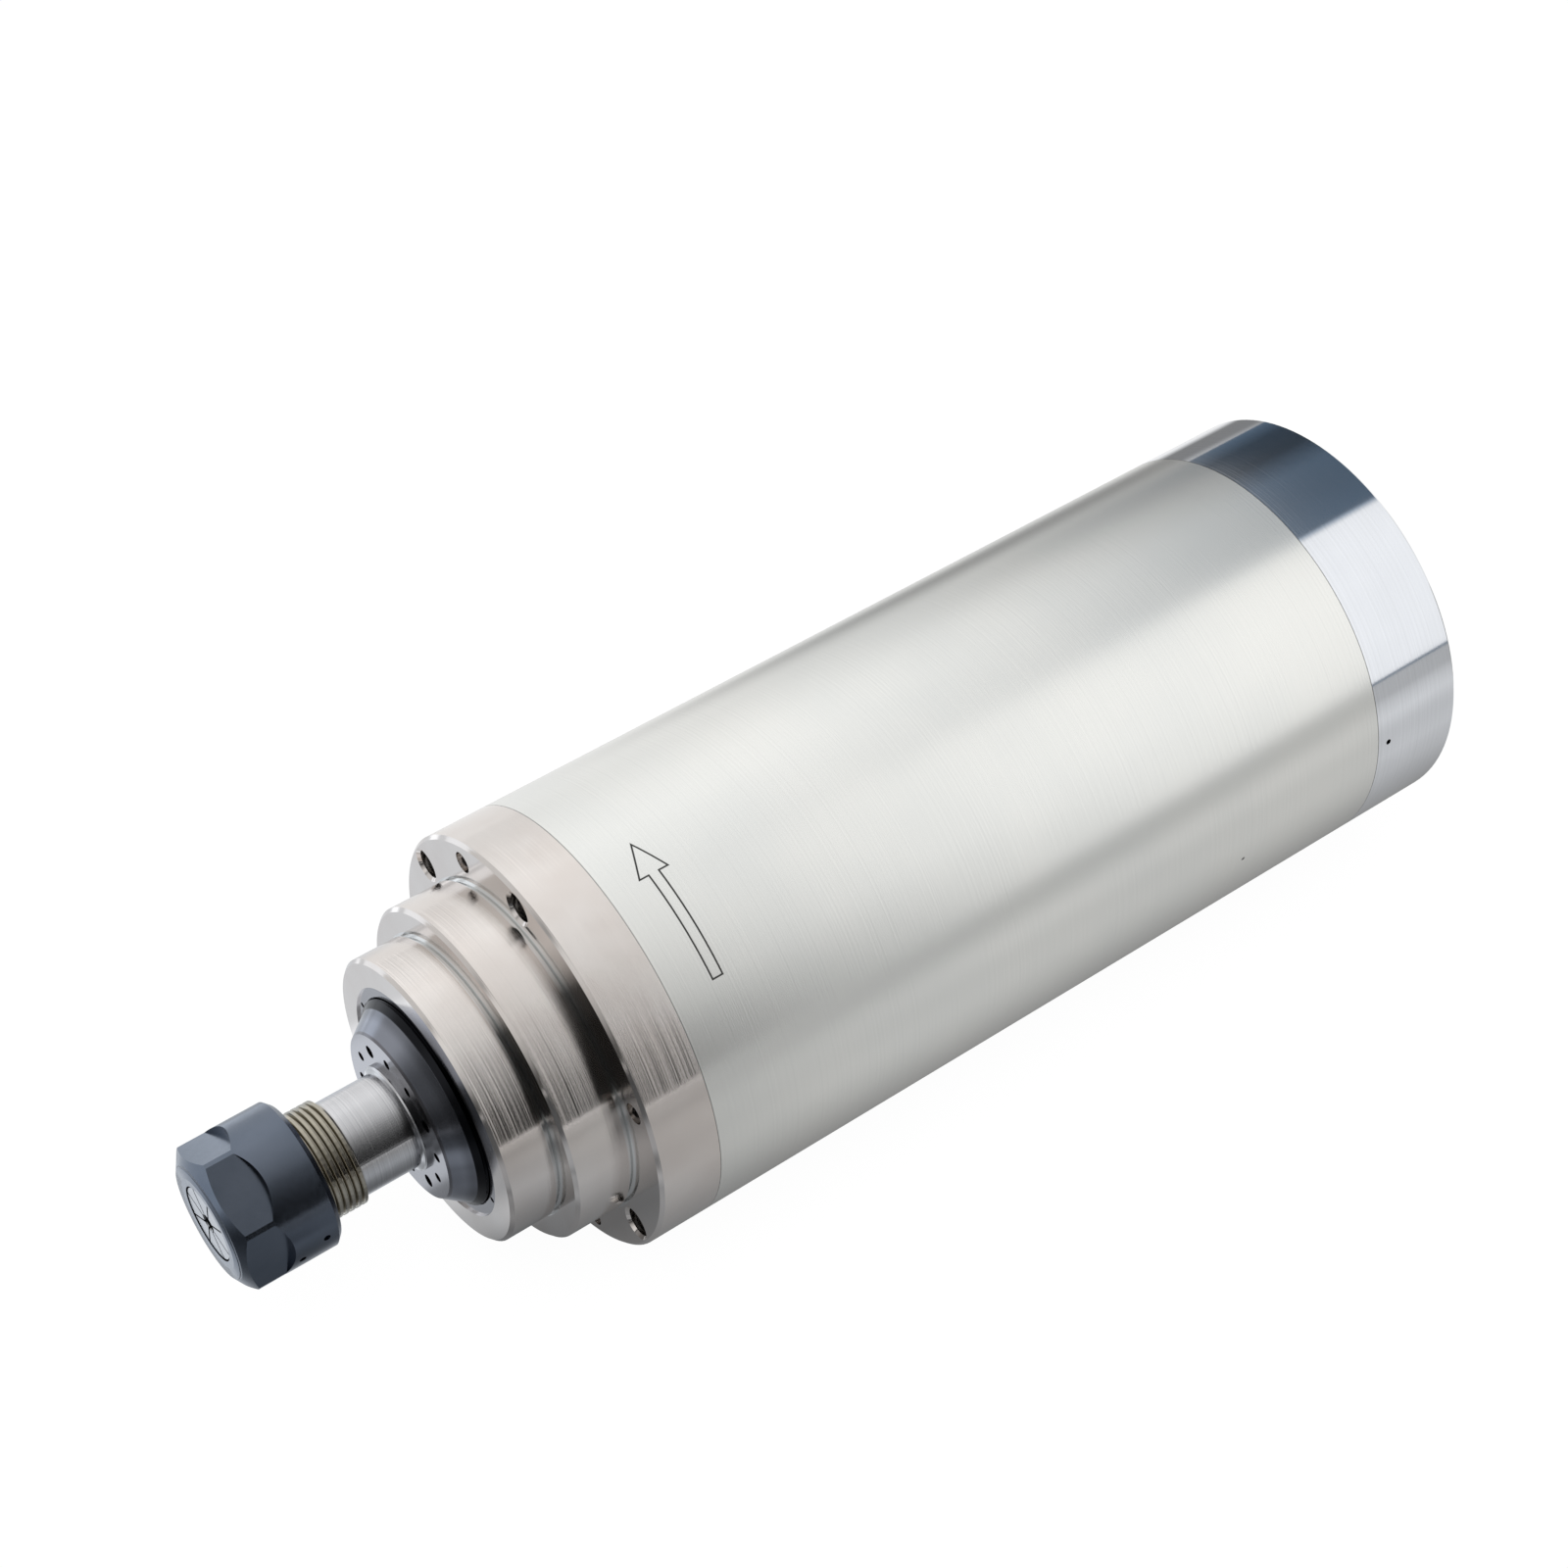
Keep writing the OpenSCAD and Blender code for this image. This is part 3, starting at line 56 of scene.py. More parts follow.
class Wire:
    # a socket that can be used in plain sums
    def __init__(self, graph, socket):
        self.graph = graph
        self.socket = socket

    def math(self, operation, *others):
        node = self.graph.add("ShaderNodeMath", {"operation": operation}, {0: self})
        for i, other in enumerate(others):
            self.graph.plug(node, i + 1, other)
        return Wire(self.graph, node.outputs[0])

    def __add__(self, other):
        return self.math("ADD", other)

    __radd__ = __add__

    def __mul__(self, other):
        return self.math("MULTIPLY", other)

    __rmul__ = __mul__

    def __sub__(self, other):
        return self.math("SUBTRACT", other)

    def __rsub__(self, other):
        return (self * -1) + other

    def __truediv__(self, other):
        return self.math("DIVIDE", other)

    def __abs__(self):
        return self.math("ABSOLUTE")

    def low(self, other):
        return self.math("MINIMUM", other)

    def high(self, other):
        return self.math("MAXIMUM", other)

    def ramp(self, start, end, low=0.0, high=1.0):
        # smooth step from low to high as the value goes from start to end
        node = self.graph.add("ShaderNodeMapRange", {"interpolation_type": "SMOOTHSTEP"}, {
            "Value": self, "From Min": start, "From Max": end, "To Min": low, "To Max": high})
        return Wire(self.graph, node.outputs["Result"])

    def fade(self, start, end):
        return self.ramp(start, end, 1.0, 0.0)

    def near(self, centre, inner, outer):
        # 1 within inner of the centre, 0 past outer
        return abs(self - centre).fade(inner, outer)

    def between(self, rise, fall):
        # 1 between two [start, end] spans and 0 outside them; a span of None leaves its side open
        up = 1.0 if rise is None else self.ramp(*rise)
        return up if fall is None else self.fade(*fall) * up


class Graph:
    def __init__(self, tree):
        self.tree = tree

    def plug(self, node, key, value):
        socket = node.inputs[key]
        if isinstance(value, Wire):
            self.tree.links.new(value.socket, socket)
        else:
            socket.default_value = value

    def add(self, kind, settings=None, links=None):
        node = self.tree.nodes.new(kind)
        for name, value in (settings or {}).items():
            setattr(node, name, value)
        for key, value in (links or {}).items():
            self.plug(node, key, value)
        return node

    def split(self, vector):
        node = self.add("ShaderNodeSeparateXYZ", None, {"Vector": vector})
        return [Wire(self, node.outputs[i]) for i in range(3)]

    def join(self, x, y, z):
        node = self.add("ShaderNodeCombineXYZ", None, {0: x, 1: y, 2: z})
        return Wire(self, node.outputs[0])

    def noise(self, vector, scale, detail, rough):
        node = self.add("ShaderNodeTexNoise", None, {
            "Vector": vector, "Scale": scale, "Detail": detail, "Roughness": rough})
        return Wire(self, node.outputs["Fac"])

    def blend(self, factor, first, second, kind="MIX"):
        node = self.add("ShaderNodeMix", {"data_type": "RGBA", "blend_type": kind}, {"Factor": factor})
        self.plug(node, 6, first)
        self.plug(node, 7, second)
        return Wire(self, node.outputs[2])

    def greys(self, value, samples):
        # the grey at a value, from samples of [value, grey]
        low, high = samples[0][0], samples[-1][0]
        node = self.add("ShaderNodeValToRGB", None, {"Fac": (value - low) / (high - low)})
        elements = node.color_ramp.elements
        while len(elements) < len(samples):
            elements.new(0.5)
        for element, (place, grey) in zip(elements, samples):
            element.position = (place - low) / (high - low)
            element.color = (grey, grey, grey, 1.0)
        return Wire(self, node.outputs["Color"])


class Finish(Graph):
    # a material with one Principled shader, read on Object coordinates
    def __init__(self, name, **shader):
        self.material = bpy.data.materials.new(name)
        self.material.use_nodes = True
        super().__init__(self.material.node_tree)
        self.shader = self.tree.nodes["Principled BSDF"]
        for key, value in shader.items():
            self.shader.inputs[key.replace("_", " ")].default_value = value
        place = self.add("ShaderNodeTexCoord")
        self.place = Wire(self, place.outputs["Object"])
        self.x, self.y, self.z = self.split(self.place)

    def paint(self, **sockets):
        for key, value in sockets.items():
            self.plug(self.shader, key.replace("_", " "), value)

    def bump(self, height, strength, distance):
        node = self.add("ShaderNodeBump", None, {
            "Height": height, "Strength": strength, "Distance": distance})
        self.paint(Normal=Wire(self, node.outputs["Normal"]))


def radiusOf(finish):
    return (finish.y * finish.y + finish.z * finish.z).math("SQRT")


def turnedLines(finish, pitch):
    # fine rings round the spindle axis: they follow x on a shaft and the radius on a face, and the two
    # are weighted apart so that they don't cancel on a bevel
    along = finish.x + radiusOf(finish) * 0.83
    return finish.noise(finish.join(along / pitch, 0.0, 0.0), 1.0, 3.0, 0.7)


def cloudy(finish, size):
    return finish.noise(finish.place, 1.0 / size, 3.0, 0.55)


def darker(colour, share):
    return tuple(c * share for c in colour[:3]) + (1.0,)


# where a noise turns from one colour to the other
patchEdges = (0.3, 0.7)
lineEdges = (0.35, 0.75)


def turnedMetal(name, colour, rough, lines=0.6, lineHeight=0.03, drift=0.04):
    # lines is the pitch of the turning marks in millimetres
    metal = Finish(name, Metallic=1.0)
    rings = turnedLines(metal, lines * mm)
    patches = cloudy(metal, 35 * mm)
    base = metal.blend(patches.ramp(*patchEdges), colour, darker(colour, 0.93))
    shade = metal.blend(rings.ramp(*lineEdges, 0.0, 0.5), base, darker(colour, 0.8))
    metal.paint(Base_Color=shade, Roughness=rings * drift + patches * drift + (rough - drift))
    metal.bump(rings, lineHeight, lines * mm / 4)
    return metal


def nickelMetal(settings):
    # turned and nickel plated, with a painted highlight: the relief grooves at the roots of the steps are
    # painted lighter
    metal = Finish("nickelFinish", Metallic=1.0)
    rings = turnedLines(metal, settings["lines"])
    patches = cloudy(metal, settings["patch"])
    radius = radiusOf(metal)
    # the fine feed marks of the cylinders, which blur what they mirror along the axis
    feed = metal.noise(metal.join(metal.x / settings["feed"], 0.0, 0.0), 1.0, 0.0, 0.5)
    turned = 0.0
    for r in settings["cylinders"]:
        turned = radius.near(r, 0.15 * mm, 0.25 * mm) + turned
    base = metal.blend(patches.ramp(*patchEdges), settings["colour"], settings["shade"])
    # painted highlight: each relief groove is mixed towards the lighter groove colour
    for x, r in settings["roots"]:
        highlightMask = metal.x.near(x, 0.8 * mm, 0.9 * mm) * radius.near(r, 0.5 * mm, 0.6 * mm)
        base = metal.blend(highlightMask, base, settings["groove"])
    rough = rings * 0.05 + patches * 0.06 + (settings["rough"] - 0.055)
    metal.paint(Base_Color=base, Roughness=rough + turned * settings["softer"])
    metal.bump(feed * turned * settings["feedHeight"] + rings * settings["lineHeight"], 1.0, 0.1 * mm)
    return metal


nickel = {
    # the groove colour is a painted highlight for the relief grooves
    "colour": srgb(233, 228, 224), "shade": srgb(226, 219, 214), "groove": srgb(236, 236, 235),
    "rough": 0.115, "softer": 0.01, "lines": 0.5 * mm, "lineHeight": 0.02, "patch": 20 * mm,
    "cylinders": (34 * mm, 40 * mm, 50 * mm), "feed": 0.08 * mm, "feedHeight": 0.1,
    # the relief grooves, where the painted highlight goes, as [x, radius]
    "roots": ((-0.45 * mm, 39.85 * mm), (-14.95 * mm, 33.85 * mm)),
}
nickelFinish = nickelMetal(nickel)
capFinish = turnedMetal("capFinish", srgb(244, 247, 252), 0.08, lines=0.7, lineHeight=0.02, drift=0.02)
groundFinish = turnedMetal("groundFinish", srgb(214, 214, 216), 0.27, lines=0.4, lineHeight=0.12)
bearingFinish = turnedMetal("bearingFinish", srgb(215, 217, 221), 0.14, lines=0.5, lineHeight=0.02)
spacerFinish = turnedMetal("spacerFinish", srgb(180, 182, 186), 0.32, lineHeight=0.1)
jacketFinish = turnedMetal("jacketFinish", srgb(190, 193, 198), 0.34, lines=0.9, lineHeight=0.14)
castFinish = turnedMetal("castFinish", srgb(186, 188, 192), 0.45, lines=1.1, lineHeight=0.08)
springFinish = turnedMetal("springFinish", srgb(150, 154, 160), 0.35)
brassFinish = turnedMetal("brassFinish", srgb(214, 182, 112), 0.24, lines=0.5, lineHeight=0.06)
copperFinish = turnedMetal("copperFinish", srgb(196, 118, 70), 0.35)
contactFinish = turnedMetal("contactFinish", srgb(228, 190, 96), 0.18)
darkFinish = turnedMetal("darkFinish", srgb(74, 77, 83), 0.38, lineHeight=0.04)
threadFinish = turnedMetal("threadFinish", srgb(128, 127, 124), 0.4, lineHeight=0.04)
grubFinish = turnedMetal("grubFinish", srgb(226, 226, 226), 0.3, lineHeight=0.04)
ringFinish = turnedMetal("ringFinish", srgb(164, 164, 169), 0.16, lines=0.5, lineHeight=0.02)
colletFinish = turnedMetal("colletFinish", srgb(178, 181, 186), 0.26, lines=0.4, lineHeight=0.06)


def arrowLine(x, around, arrow):
    # the outline of an arrow that runs round the tube
    side = abs(x - arrow["x"])
    run = around - arrow["tip"]
    lean = math.atan2(arrow["barb"], arrow["head"])
    head = (run * math.sin(lean) - side * math.cos(lean)).low(arrow["head"] - run)
    shaft = (arrow["shaft"] - side).low(arrow["length"] - run).low(run - arrow["head"] * 0.8)
    return abs(head.high(shaft)).fade(arrow["line"] * 0.3, arrow["line"] * 0.7)


def sleeveMetal(settings):
    # drawn stainless tube with the etched arrow for the direction of rotation
    metal = Finish("sleeveFinish", Metallic=1.0)
    rings = turnedLines(metal, settings["lines"])
    patches = cloudy(metal, settings["patch"])
    base = metal.blend(patches.ramp(*patchEdges), settings["colour"], settings["shade"])
    base = metal.blend(rings.ramp(*lineEdges, 0.0, 0.3), base, darker(settings["shade"], 0.86))
    turn = metal.z.math("ARCTAN2", metal.y)
    line = arrowLine(metal.x, turn * settings["radius"], settings["arrow"])
    # the seams with the flange and the cap, and a pinprick in the tube
    first, last = settings["seams"]
    seam = (metal.x - first).low(last - metal.x).fade(0.0, settings["seam"])
    dot = settings["dot"]
    around, along = (turn - dot["turn"]) * settings["radius"], metal.x - dot["x"]
    far = (around * around + along * along).math("SQRT")
    marks = seam.high(far.fade(dot["radius"] * 0.5, dot["radius"] * 1.3))
    metal.paint(
        Base_Color=metal.blend(line.high(marks), base, settings["etch"]),
        Roughness=(rings * 0.05 + patches * 0.04 + (settings["rough"] - 0.045)).high(line * 0.6))
    metal.bump(rings - line * 0.8, 0.06, 0.1 * mm)
    return metal


sleeveLow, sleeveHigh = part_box("outer_sleeve")
sleeve = {
    "colour": srgb(246, 246, 242), "shade": srgb(241, 242, 239), "etch": srgb(92, 92, 90),
    "rough": 0.25, "lines": 0.5 * mm, "patch": 50 * mm,
    "radius": sleeveHigh.y, "seams": (sleeveLow.x, sleeveHigh.x), "seam": 0.3 * mm,
    "dot": {"x": 162.0 * mm, "turn": math.radians(-176.5), "radius": 0.5 * mm},
    "arrow": {
        "x": 26.6 * mm, "tip": 81.42 * mm, "head": 8.38 * mm, "barb": 3.55 * mm, "shaft": 1.25 * mm,
        "length": 33.95 * mm, "line": 0.4 * mm},
}
sleeveFinish = sleeveMetal(sleeve)


def nutSteel(settings):
    # blued steel: dark oxide with a soft sheen; the edge of the front face leans back a little
    coat = Finish("nutFinish", Metallic=1.0)
    patches = cloudy(coat, settings["patch"])
    fine = coat.noise(coat.place, 1.0 / settings["grain"], 2.0, 0.6)
    coat.paint(
        Base_Color=coat.blend(patches.ramp(0.25, 0.75), settings["colour"], settings["light"]),
        Roughness=fine * 0.1 + patches * 0.06 + (settings["rough"] - 0.08))
    edge = settings["edge"]
    face = coat.x.fade(edge["x"] + 0.1 * mm, edge["x"] + 0.3 * mm)
    lean = (radiusOf(coat) - edge["radius"]).high(0.0) * face * edge["slope"]
    coat.bump(fine * settings["grainHeight"] - lean, 1.0, 1.0)
    return coat


nut = {
    "colour": srgb(98, 107, 120), "light": srgb(109, 117, 130), "rough": 0.23, "patch": 12 * mm,
    "grain": 1.2 * mm, "grainHeight": 0.0064 * mm,
    "edge": {"x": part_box("collet_nut")[0].x, "radius": 10.6 * mm, "slope": 0.27},
}
nutFinish = nutSteel(nut)


def slingerMetal(settings):
    # a blackened cone with a bright ground face; the cone's rim is darkened with painted shade
    metal = Finish("slingerFinish", Metallic=1.0)
    rings = turnedLines(metal, settings["lines"])
    patches = cloudy(metal, settings["patch"])
    radius = radiusOf(metal)
    coneWithShade = metal.blend(patches, settings["cone"], darker(settings["cone"], 0.85))
    # painted shade: the cone is darkened towards its rim
    for start, end, share in settings["shadeRims"]:
        coneWithShade = metal.blend(radius.ramp(start, end), coneWithShade, darker(settings["cone"], share))
    bright = radius.fade(*settings["edge"])
    metal.paint(
        Base_Color=metal.blend(bright, coneWithShade, settings["face"]),
        Roughness=rings * 0.05 + patches * 0.05 + (settings["rough"] - 0.05))
    metal.bump(rings, 0.05, 0.1 * mm)
    return metal


slinger = {
    "cone": srgb(163, 167, 178), "face": srgb(129, 129, 135), "edge": (20.0 * mm, 20.2 * mm),
    "rough": 0.19, "lines": 0.5 * mm, "patch": 15 * mm,
    # painted shade: where the cone gets darker towards its rim, nearly black at the very rim, as [radius,
    # radius, share of the colour]
    "shadeRims": ((21.5 * mm, 23.0 * mm, 0.6), (23.2 * mm, 23.4 * mm, 0.045)),
}
slingerFinish = slingerMetal(slinger)


def moulded(name, colour, rough, sheen=0.5):
    plastic = Finish(name, Specular_IOR_Level=sheen)
    fine = plastic.noise(plastic.place, 1.0 / (0.4 * mm), 2.0, 0.6)
    patches = cloudy(plastic, 10 * mm)
    plastic.paint(
        Base_Color=plastic.blend(patches, colour, darker(colour, 0.82)),
        Roughness=fine * 0.12 + (rough - 0.06))
    plastic.bump(fine, 0.15, 0.06 * mm)
    return plastic


rubberFinish = moulded("rubberFinish", srgb(27, 27, 29), 0.6, 0.35)
insulatorFinish = moulded("insulatorFinish", srgb(38, 40, 43), 0.42)
leadFinish = moulded("leadFinish", srgb(176, 58, 46), 0.5)
wedgeFinish = moulded("wedgeFinish", srgb(217, 210, 184), 0.55)


def wave(value, pitch):
    return (value * (2 * math.pi / pitch)).math("SINE")


def cageResin():
    # fabric resin: a fine weave of threads in brown resin
    resin = Finish("cageFinish", Specular_IOR_Level=0.4)
    pitch = 1.208 * mm
    weave = wave(resin.x, pitch) * wave(resin.y, pitch) * 0.5 + 0.5
    resin.paint(
        Base_Color=resin.blend(weave, srgb(150, 96, 48), srgb(186, 134, 76)),
        Roughness=weave * 0.12 + 0.4)
    resin.bump(weave, 0.2, 0.05 * mm)
    return resin


def laminations(name, colour):
    # stacked sheets: fine lines across the axis
    stack = Finish(name, Metallic=0.7)
    sheet = wave(stack.x, 0.5 * mm) * 0.5 + 0.5
    patches = cloudy(stack, 20 * mm)
    stack.paint(
        Base_Color=stack.blend(sheet * 0.6 + patches * 0.4, colour, darker(colour, 0.55)),
        Roughness=sheet * 0.15 + 0.4)
    stack.bump(sheet, 0.3, 0.08 * mm)
    return stack


def woundCopper():
    # enamelled wire: fine strands along the slots and round the end turns
    wire = Finish("windingFinish", Metallic=0.35, Coat_Weight=0.4, Coat_Roughness=0.2)
    strand = wave(radiusOf(wire) + wire.x * 0.25, 0.9 * mm) * 0.5 + 0.5
    patches = cloudy(wire, 6 * mm)
    wire.paint(
        Base_Color=wire.blend(strand * 0.7 + patches * 0.3, srgb(120, 52, 24), srgb(200, 118, 64)),
        Roughness=strand * 0.15 + 0.3)
    wire.bump(strand, 0.5, 0.2 * mm)
    return wire


cageFinish = cageResin()
statorFinish = laminations("statorFinish", srgb(128, 132, 138))
rotorFinish = laminations("rotorFinish", srgb(118, 121, 127))
windingFinish = woundCopper()


def dress(finish, *names):
    for name in names:
        slots = nodes[name].data.materials
        slots.clear()
        slots.append(finish.material)


dress(nickelFinish, "front_housing")
dress(sleeveFinish, "outer_sleeve")
dress(capFinish, "rear_cap")
dress(groundFinish, "spindle_shaft")
dress(nutFinish, "collet_nut")
dress(colletFinish, "collet")
dress(slingerFinish, "slinger")
dress(ringFinish, "retaining_ring")
dress(spacerFinish, "front_outer_spacer", "front_inner_spacer")
dress(bearingFinish, "front_outer_rings", "front_inner_rings", "front_balls",
      "rear_outer_rings", "rear_inner_rings", "rear_balls", "connector_shell")
dress(cageFinish, "front_cages", "rear_cages")
dress(jacketFinish, "water_jacket", "rear_housing")
dress(castFinish, "rotor_cage")
dress(grubFinish, "flange_grub_screws")
dress(springFinish, "preload_springs", "extraction_ring")
dress(darkFinish, "tie_rods", "cap_screws", "rear_lock_nut")
dress(rubberFinish, "housing_o_rings", "jacket_o_rings")
dress(statorFinish, "stator_core")
dress(rotorFinish, "rotor_core")
dress(windingFinish, "stator_windings")
dress(wedgeFinish, "slot_wedges")
dress(leadFinish, "lead_wires")
dress(insulatorFinish, "connector_insert")
dress(contactFinish, "connector_pins")
dress(brassFinish, "water_fittings")
dress(copperFinish, "fitting_washers")
print("finishes: every node dressed")


def makePiece(name, bm, finish, body):
    mesh = bpy.data.meshes.new(name)
    bm.to_mesh(mesh)
    bm.free()
    mesh.materials.append(finish.material)
    piece = bpy.data.objects.new(name, mesh)
    bpy.context.scene.collection.objects.link(piece)
    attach(piece, body)
    return piece


def profileWire(bm, points, closed=False):
    # points are [x, radius] in millimetres, drawn in the XY plane
    verts = [bm.verts.new((x * mm, r * mm, 0)) for x, r in points]
    pairs = list(zip(verts, verts[1:])) + ([(verts[-1], verts[0])] if closed else [])
    return verts, [bm.edges.new(pair) for pair in pairs]


def turnRound(bm, geometry, steps=128):
    bmesh.ops.spin(bm, geom=geometry, cent=(0, 0, 0), axis=(1, 0, 0), dvec=(0, 0, 0),
                   angle=2 * math.pi, steps=steps, use_merge=True, use_normal_flip=False,
                   use_duplicate=False)
    bmesh.ops.remove_doubles(bm, verts=bm.verts, dist=0.001 * mm)


def windThread(bm, ridge, start, pitch, turns, steps=56, centre=(0.0, 0.0)):
    # a thread ridge: the section is spun while it moves along the axis, which stands at centre [y, z]
    verts, edges = profileWire(bm, [(start + x, r) for x, r in ridge], closed=True)
    bmesh.ops.translate(bm, verts=verts, vec=(0, centre[0], centre[1]))
    count = int(turns * steps)
    made = bmesh.ops.spin(bm, geom=verts + edges, cent=(0, centre[0], centre[1]), axis=(1, 0, 0),
                          dvec=(pitch * mm / steps, 0, 0), angle=2 * math.pi * turns, steps=count,
                          use_merge=False, use_normal_flip=False, use_duplicate=False)
    last = [e for e in made["geom_last"] if isinstance(e, bmesh.types.BMEdge)]
    bmesh.ops.holes_fill(bm, edges=edges + last, sides=len(ridge))


tip, tail = (corner.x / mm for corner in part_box("spindle_shaft"))
shaft = {
    "plain": (srgb(222, 222, 224), srgb(186, 187, 190)),
    "tinted": (srgb(191, 186, 174), srgb(174, 169, 156)), "tintEnd": (-48.2 * mm, -47.8 * mm),
    "rough": 0.175, "lines": 0.4 * mm, "patch": 20 * mm,
    # the shaft from its tail to its tip, then the taper and the bore, as [x, radius] in millimetres
    "profile": [
        (tail, 0), (tail, 8), (203, 8.5), (174.9, 8.5), (174.9, 10.55), (168, 10.55), (166, 12), (156, 12),
        (156, 15), (44.5, 15), (44.5, 17), (19.7, 17), (19.7, 15.87), (14.7, 15.87), (14.7, 12.5),
        (-34.0, 12.5), (-34.3, 12.2), (-34.7, 11.2), (-48.0, 11.2), (-48.6, 11.62), (-70.7, 11.62),
        (tip, 11.1), (tip, 10.53), (-45.6, 6.93), (-45.6, 6.5), (-36.6, 6.5), (-32.85, 0)],
    "ridge": [(0.0, 11.55), (0.22, 12.2), (0.36, 12.42), (1.06, 12.42), (1.2, 12.2), (1.42, 11.55)],
    "ridgeStart": tip + 0.3, "pitch": 1.5, "turns": 15.0,
}


def makeShaft(settings):
    bm = bmesh.new()
    verts, edges = profileWire(bm, settings["profile"])
    turnRound(bm, verts + edges)
    windThread(bm, settings["ridge"], settings["ridgeStart"], settings["pitch"], settings["turns"])
    bmesh.ops.recalc_face_normals(bm, faces=bm.faces)
    piece = makePiece("threadedShaft", bm, shaftFinish, "rotor")
    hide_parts("spindle_shaft")


def shaftMetal(settings):
    # ground steel, bronze tinted where it is threaded
    metal = Finish("shaftFinish", Metallic=1.0)
    rings = turnedLines(metal, settings["lines"])
    patches = cloudy(metal, settings["patch"])
    plain = metal.blend(rings.ramp(0.3, 0.8), *settings["plain"])
    tinted = metal.blend(patches.ramp(*patchEdges), *settings["tinted"])
    metal.paint(
        Base_Color=metal.blend(metal.x.fade(*settings["tintEnd"]), plain, tinted),
        Roughness=rings * 0.08 + patches * 0.05 + (settings["rough"] - 0.065))
    metal.bump(rings, 0.1, 0.1 * mm)
    return metal


shaftFinish = shaftMetal(shaft)
makeShaft(shaft)
print("shaft: turned and threaded")


flangeThreads = {
    # turns inside the four mounting threads, cut in the housing's wall
    "angles": (30, 90, 210, 270), "circle": 45 * mm,
    "ridge": [(0.0, 3.42), (0.38, 3.2), (0.68, 3.2), (1.06, 3.42)],
    "start": 1.5, "pitch": 1.25, "turns": 7.3, "steps": 24,
}


def makeFlangeThreads(settings):
    bm = bmesh.new()
    for angle in settings["angles"]:
        turn = math.radians(angle)
        centre = (settings["circle"] * math.cos(turn), settings["circle"] * math.sin(turn))
        windThread(bm, settings["ridge"], settings["start"], settings["pitch"], settings["turns"],
                   settings["steps"], centre)
    bmesh.ops.recalc_face_normals(bm, faces=bm.faces)
    makePiece("flangeThreads", bm, threadFinish, "housing")


makeFlangeThreads(flangeThreads)
print("flange: threads wound")


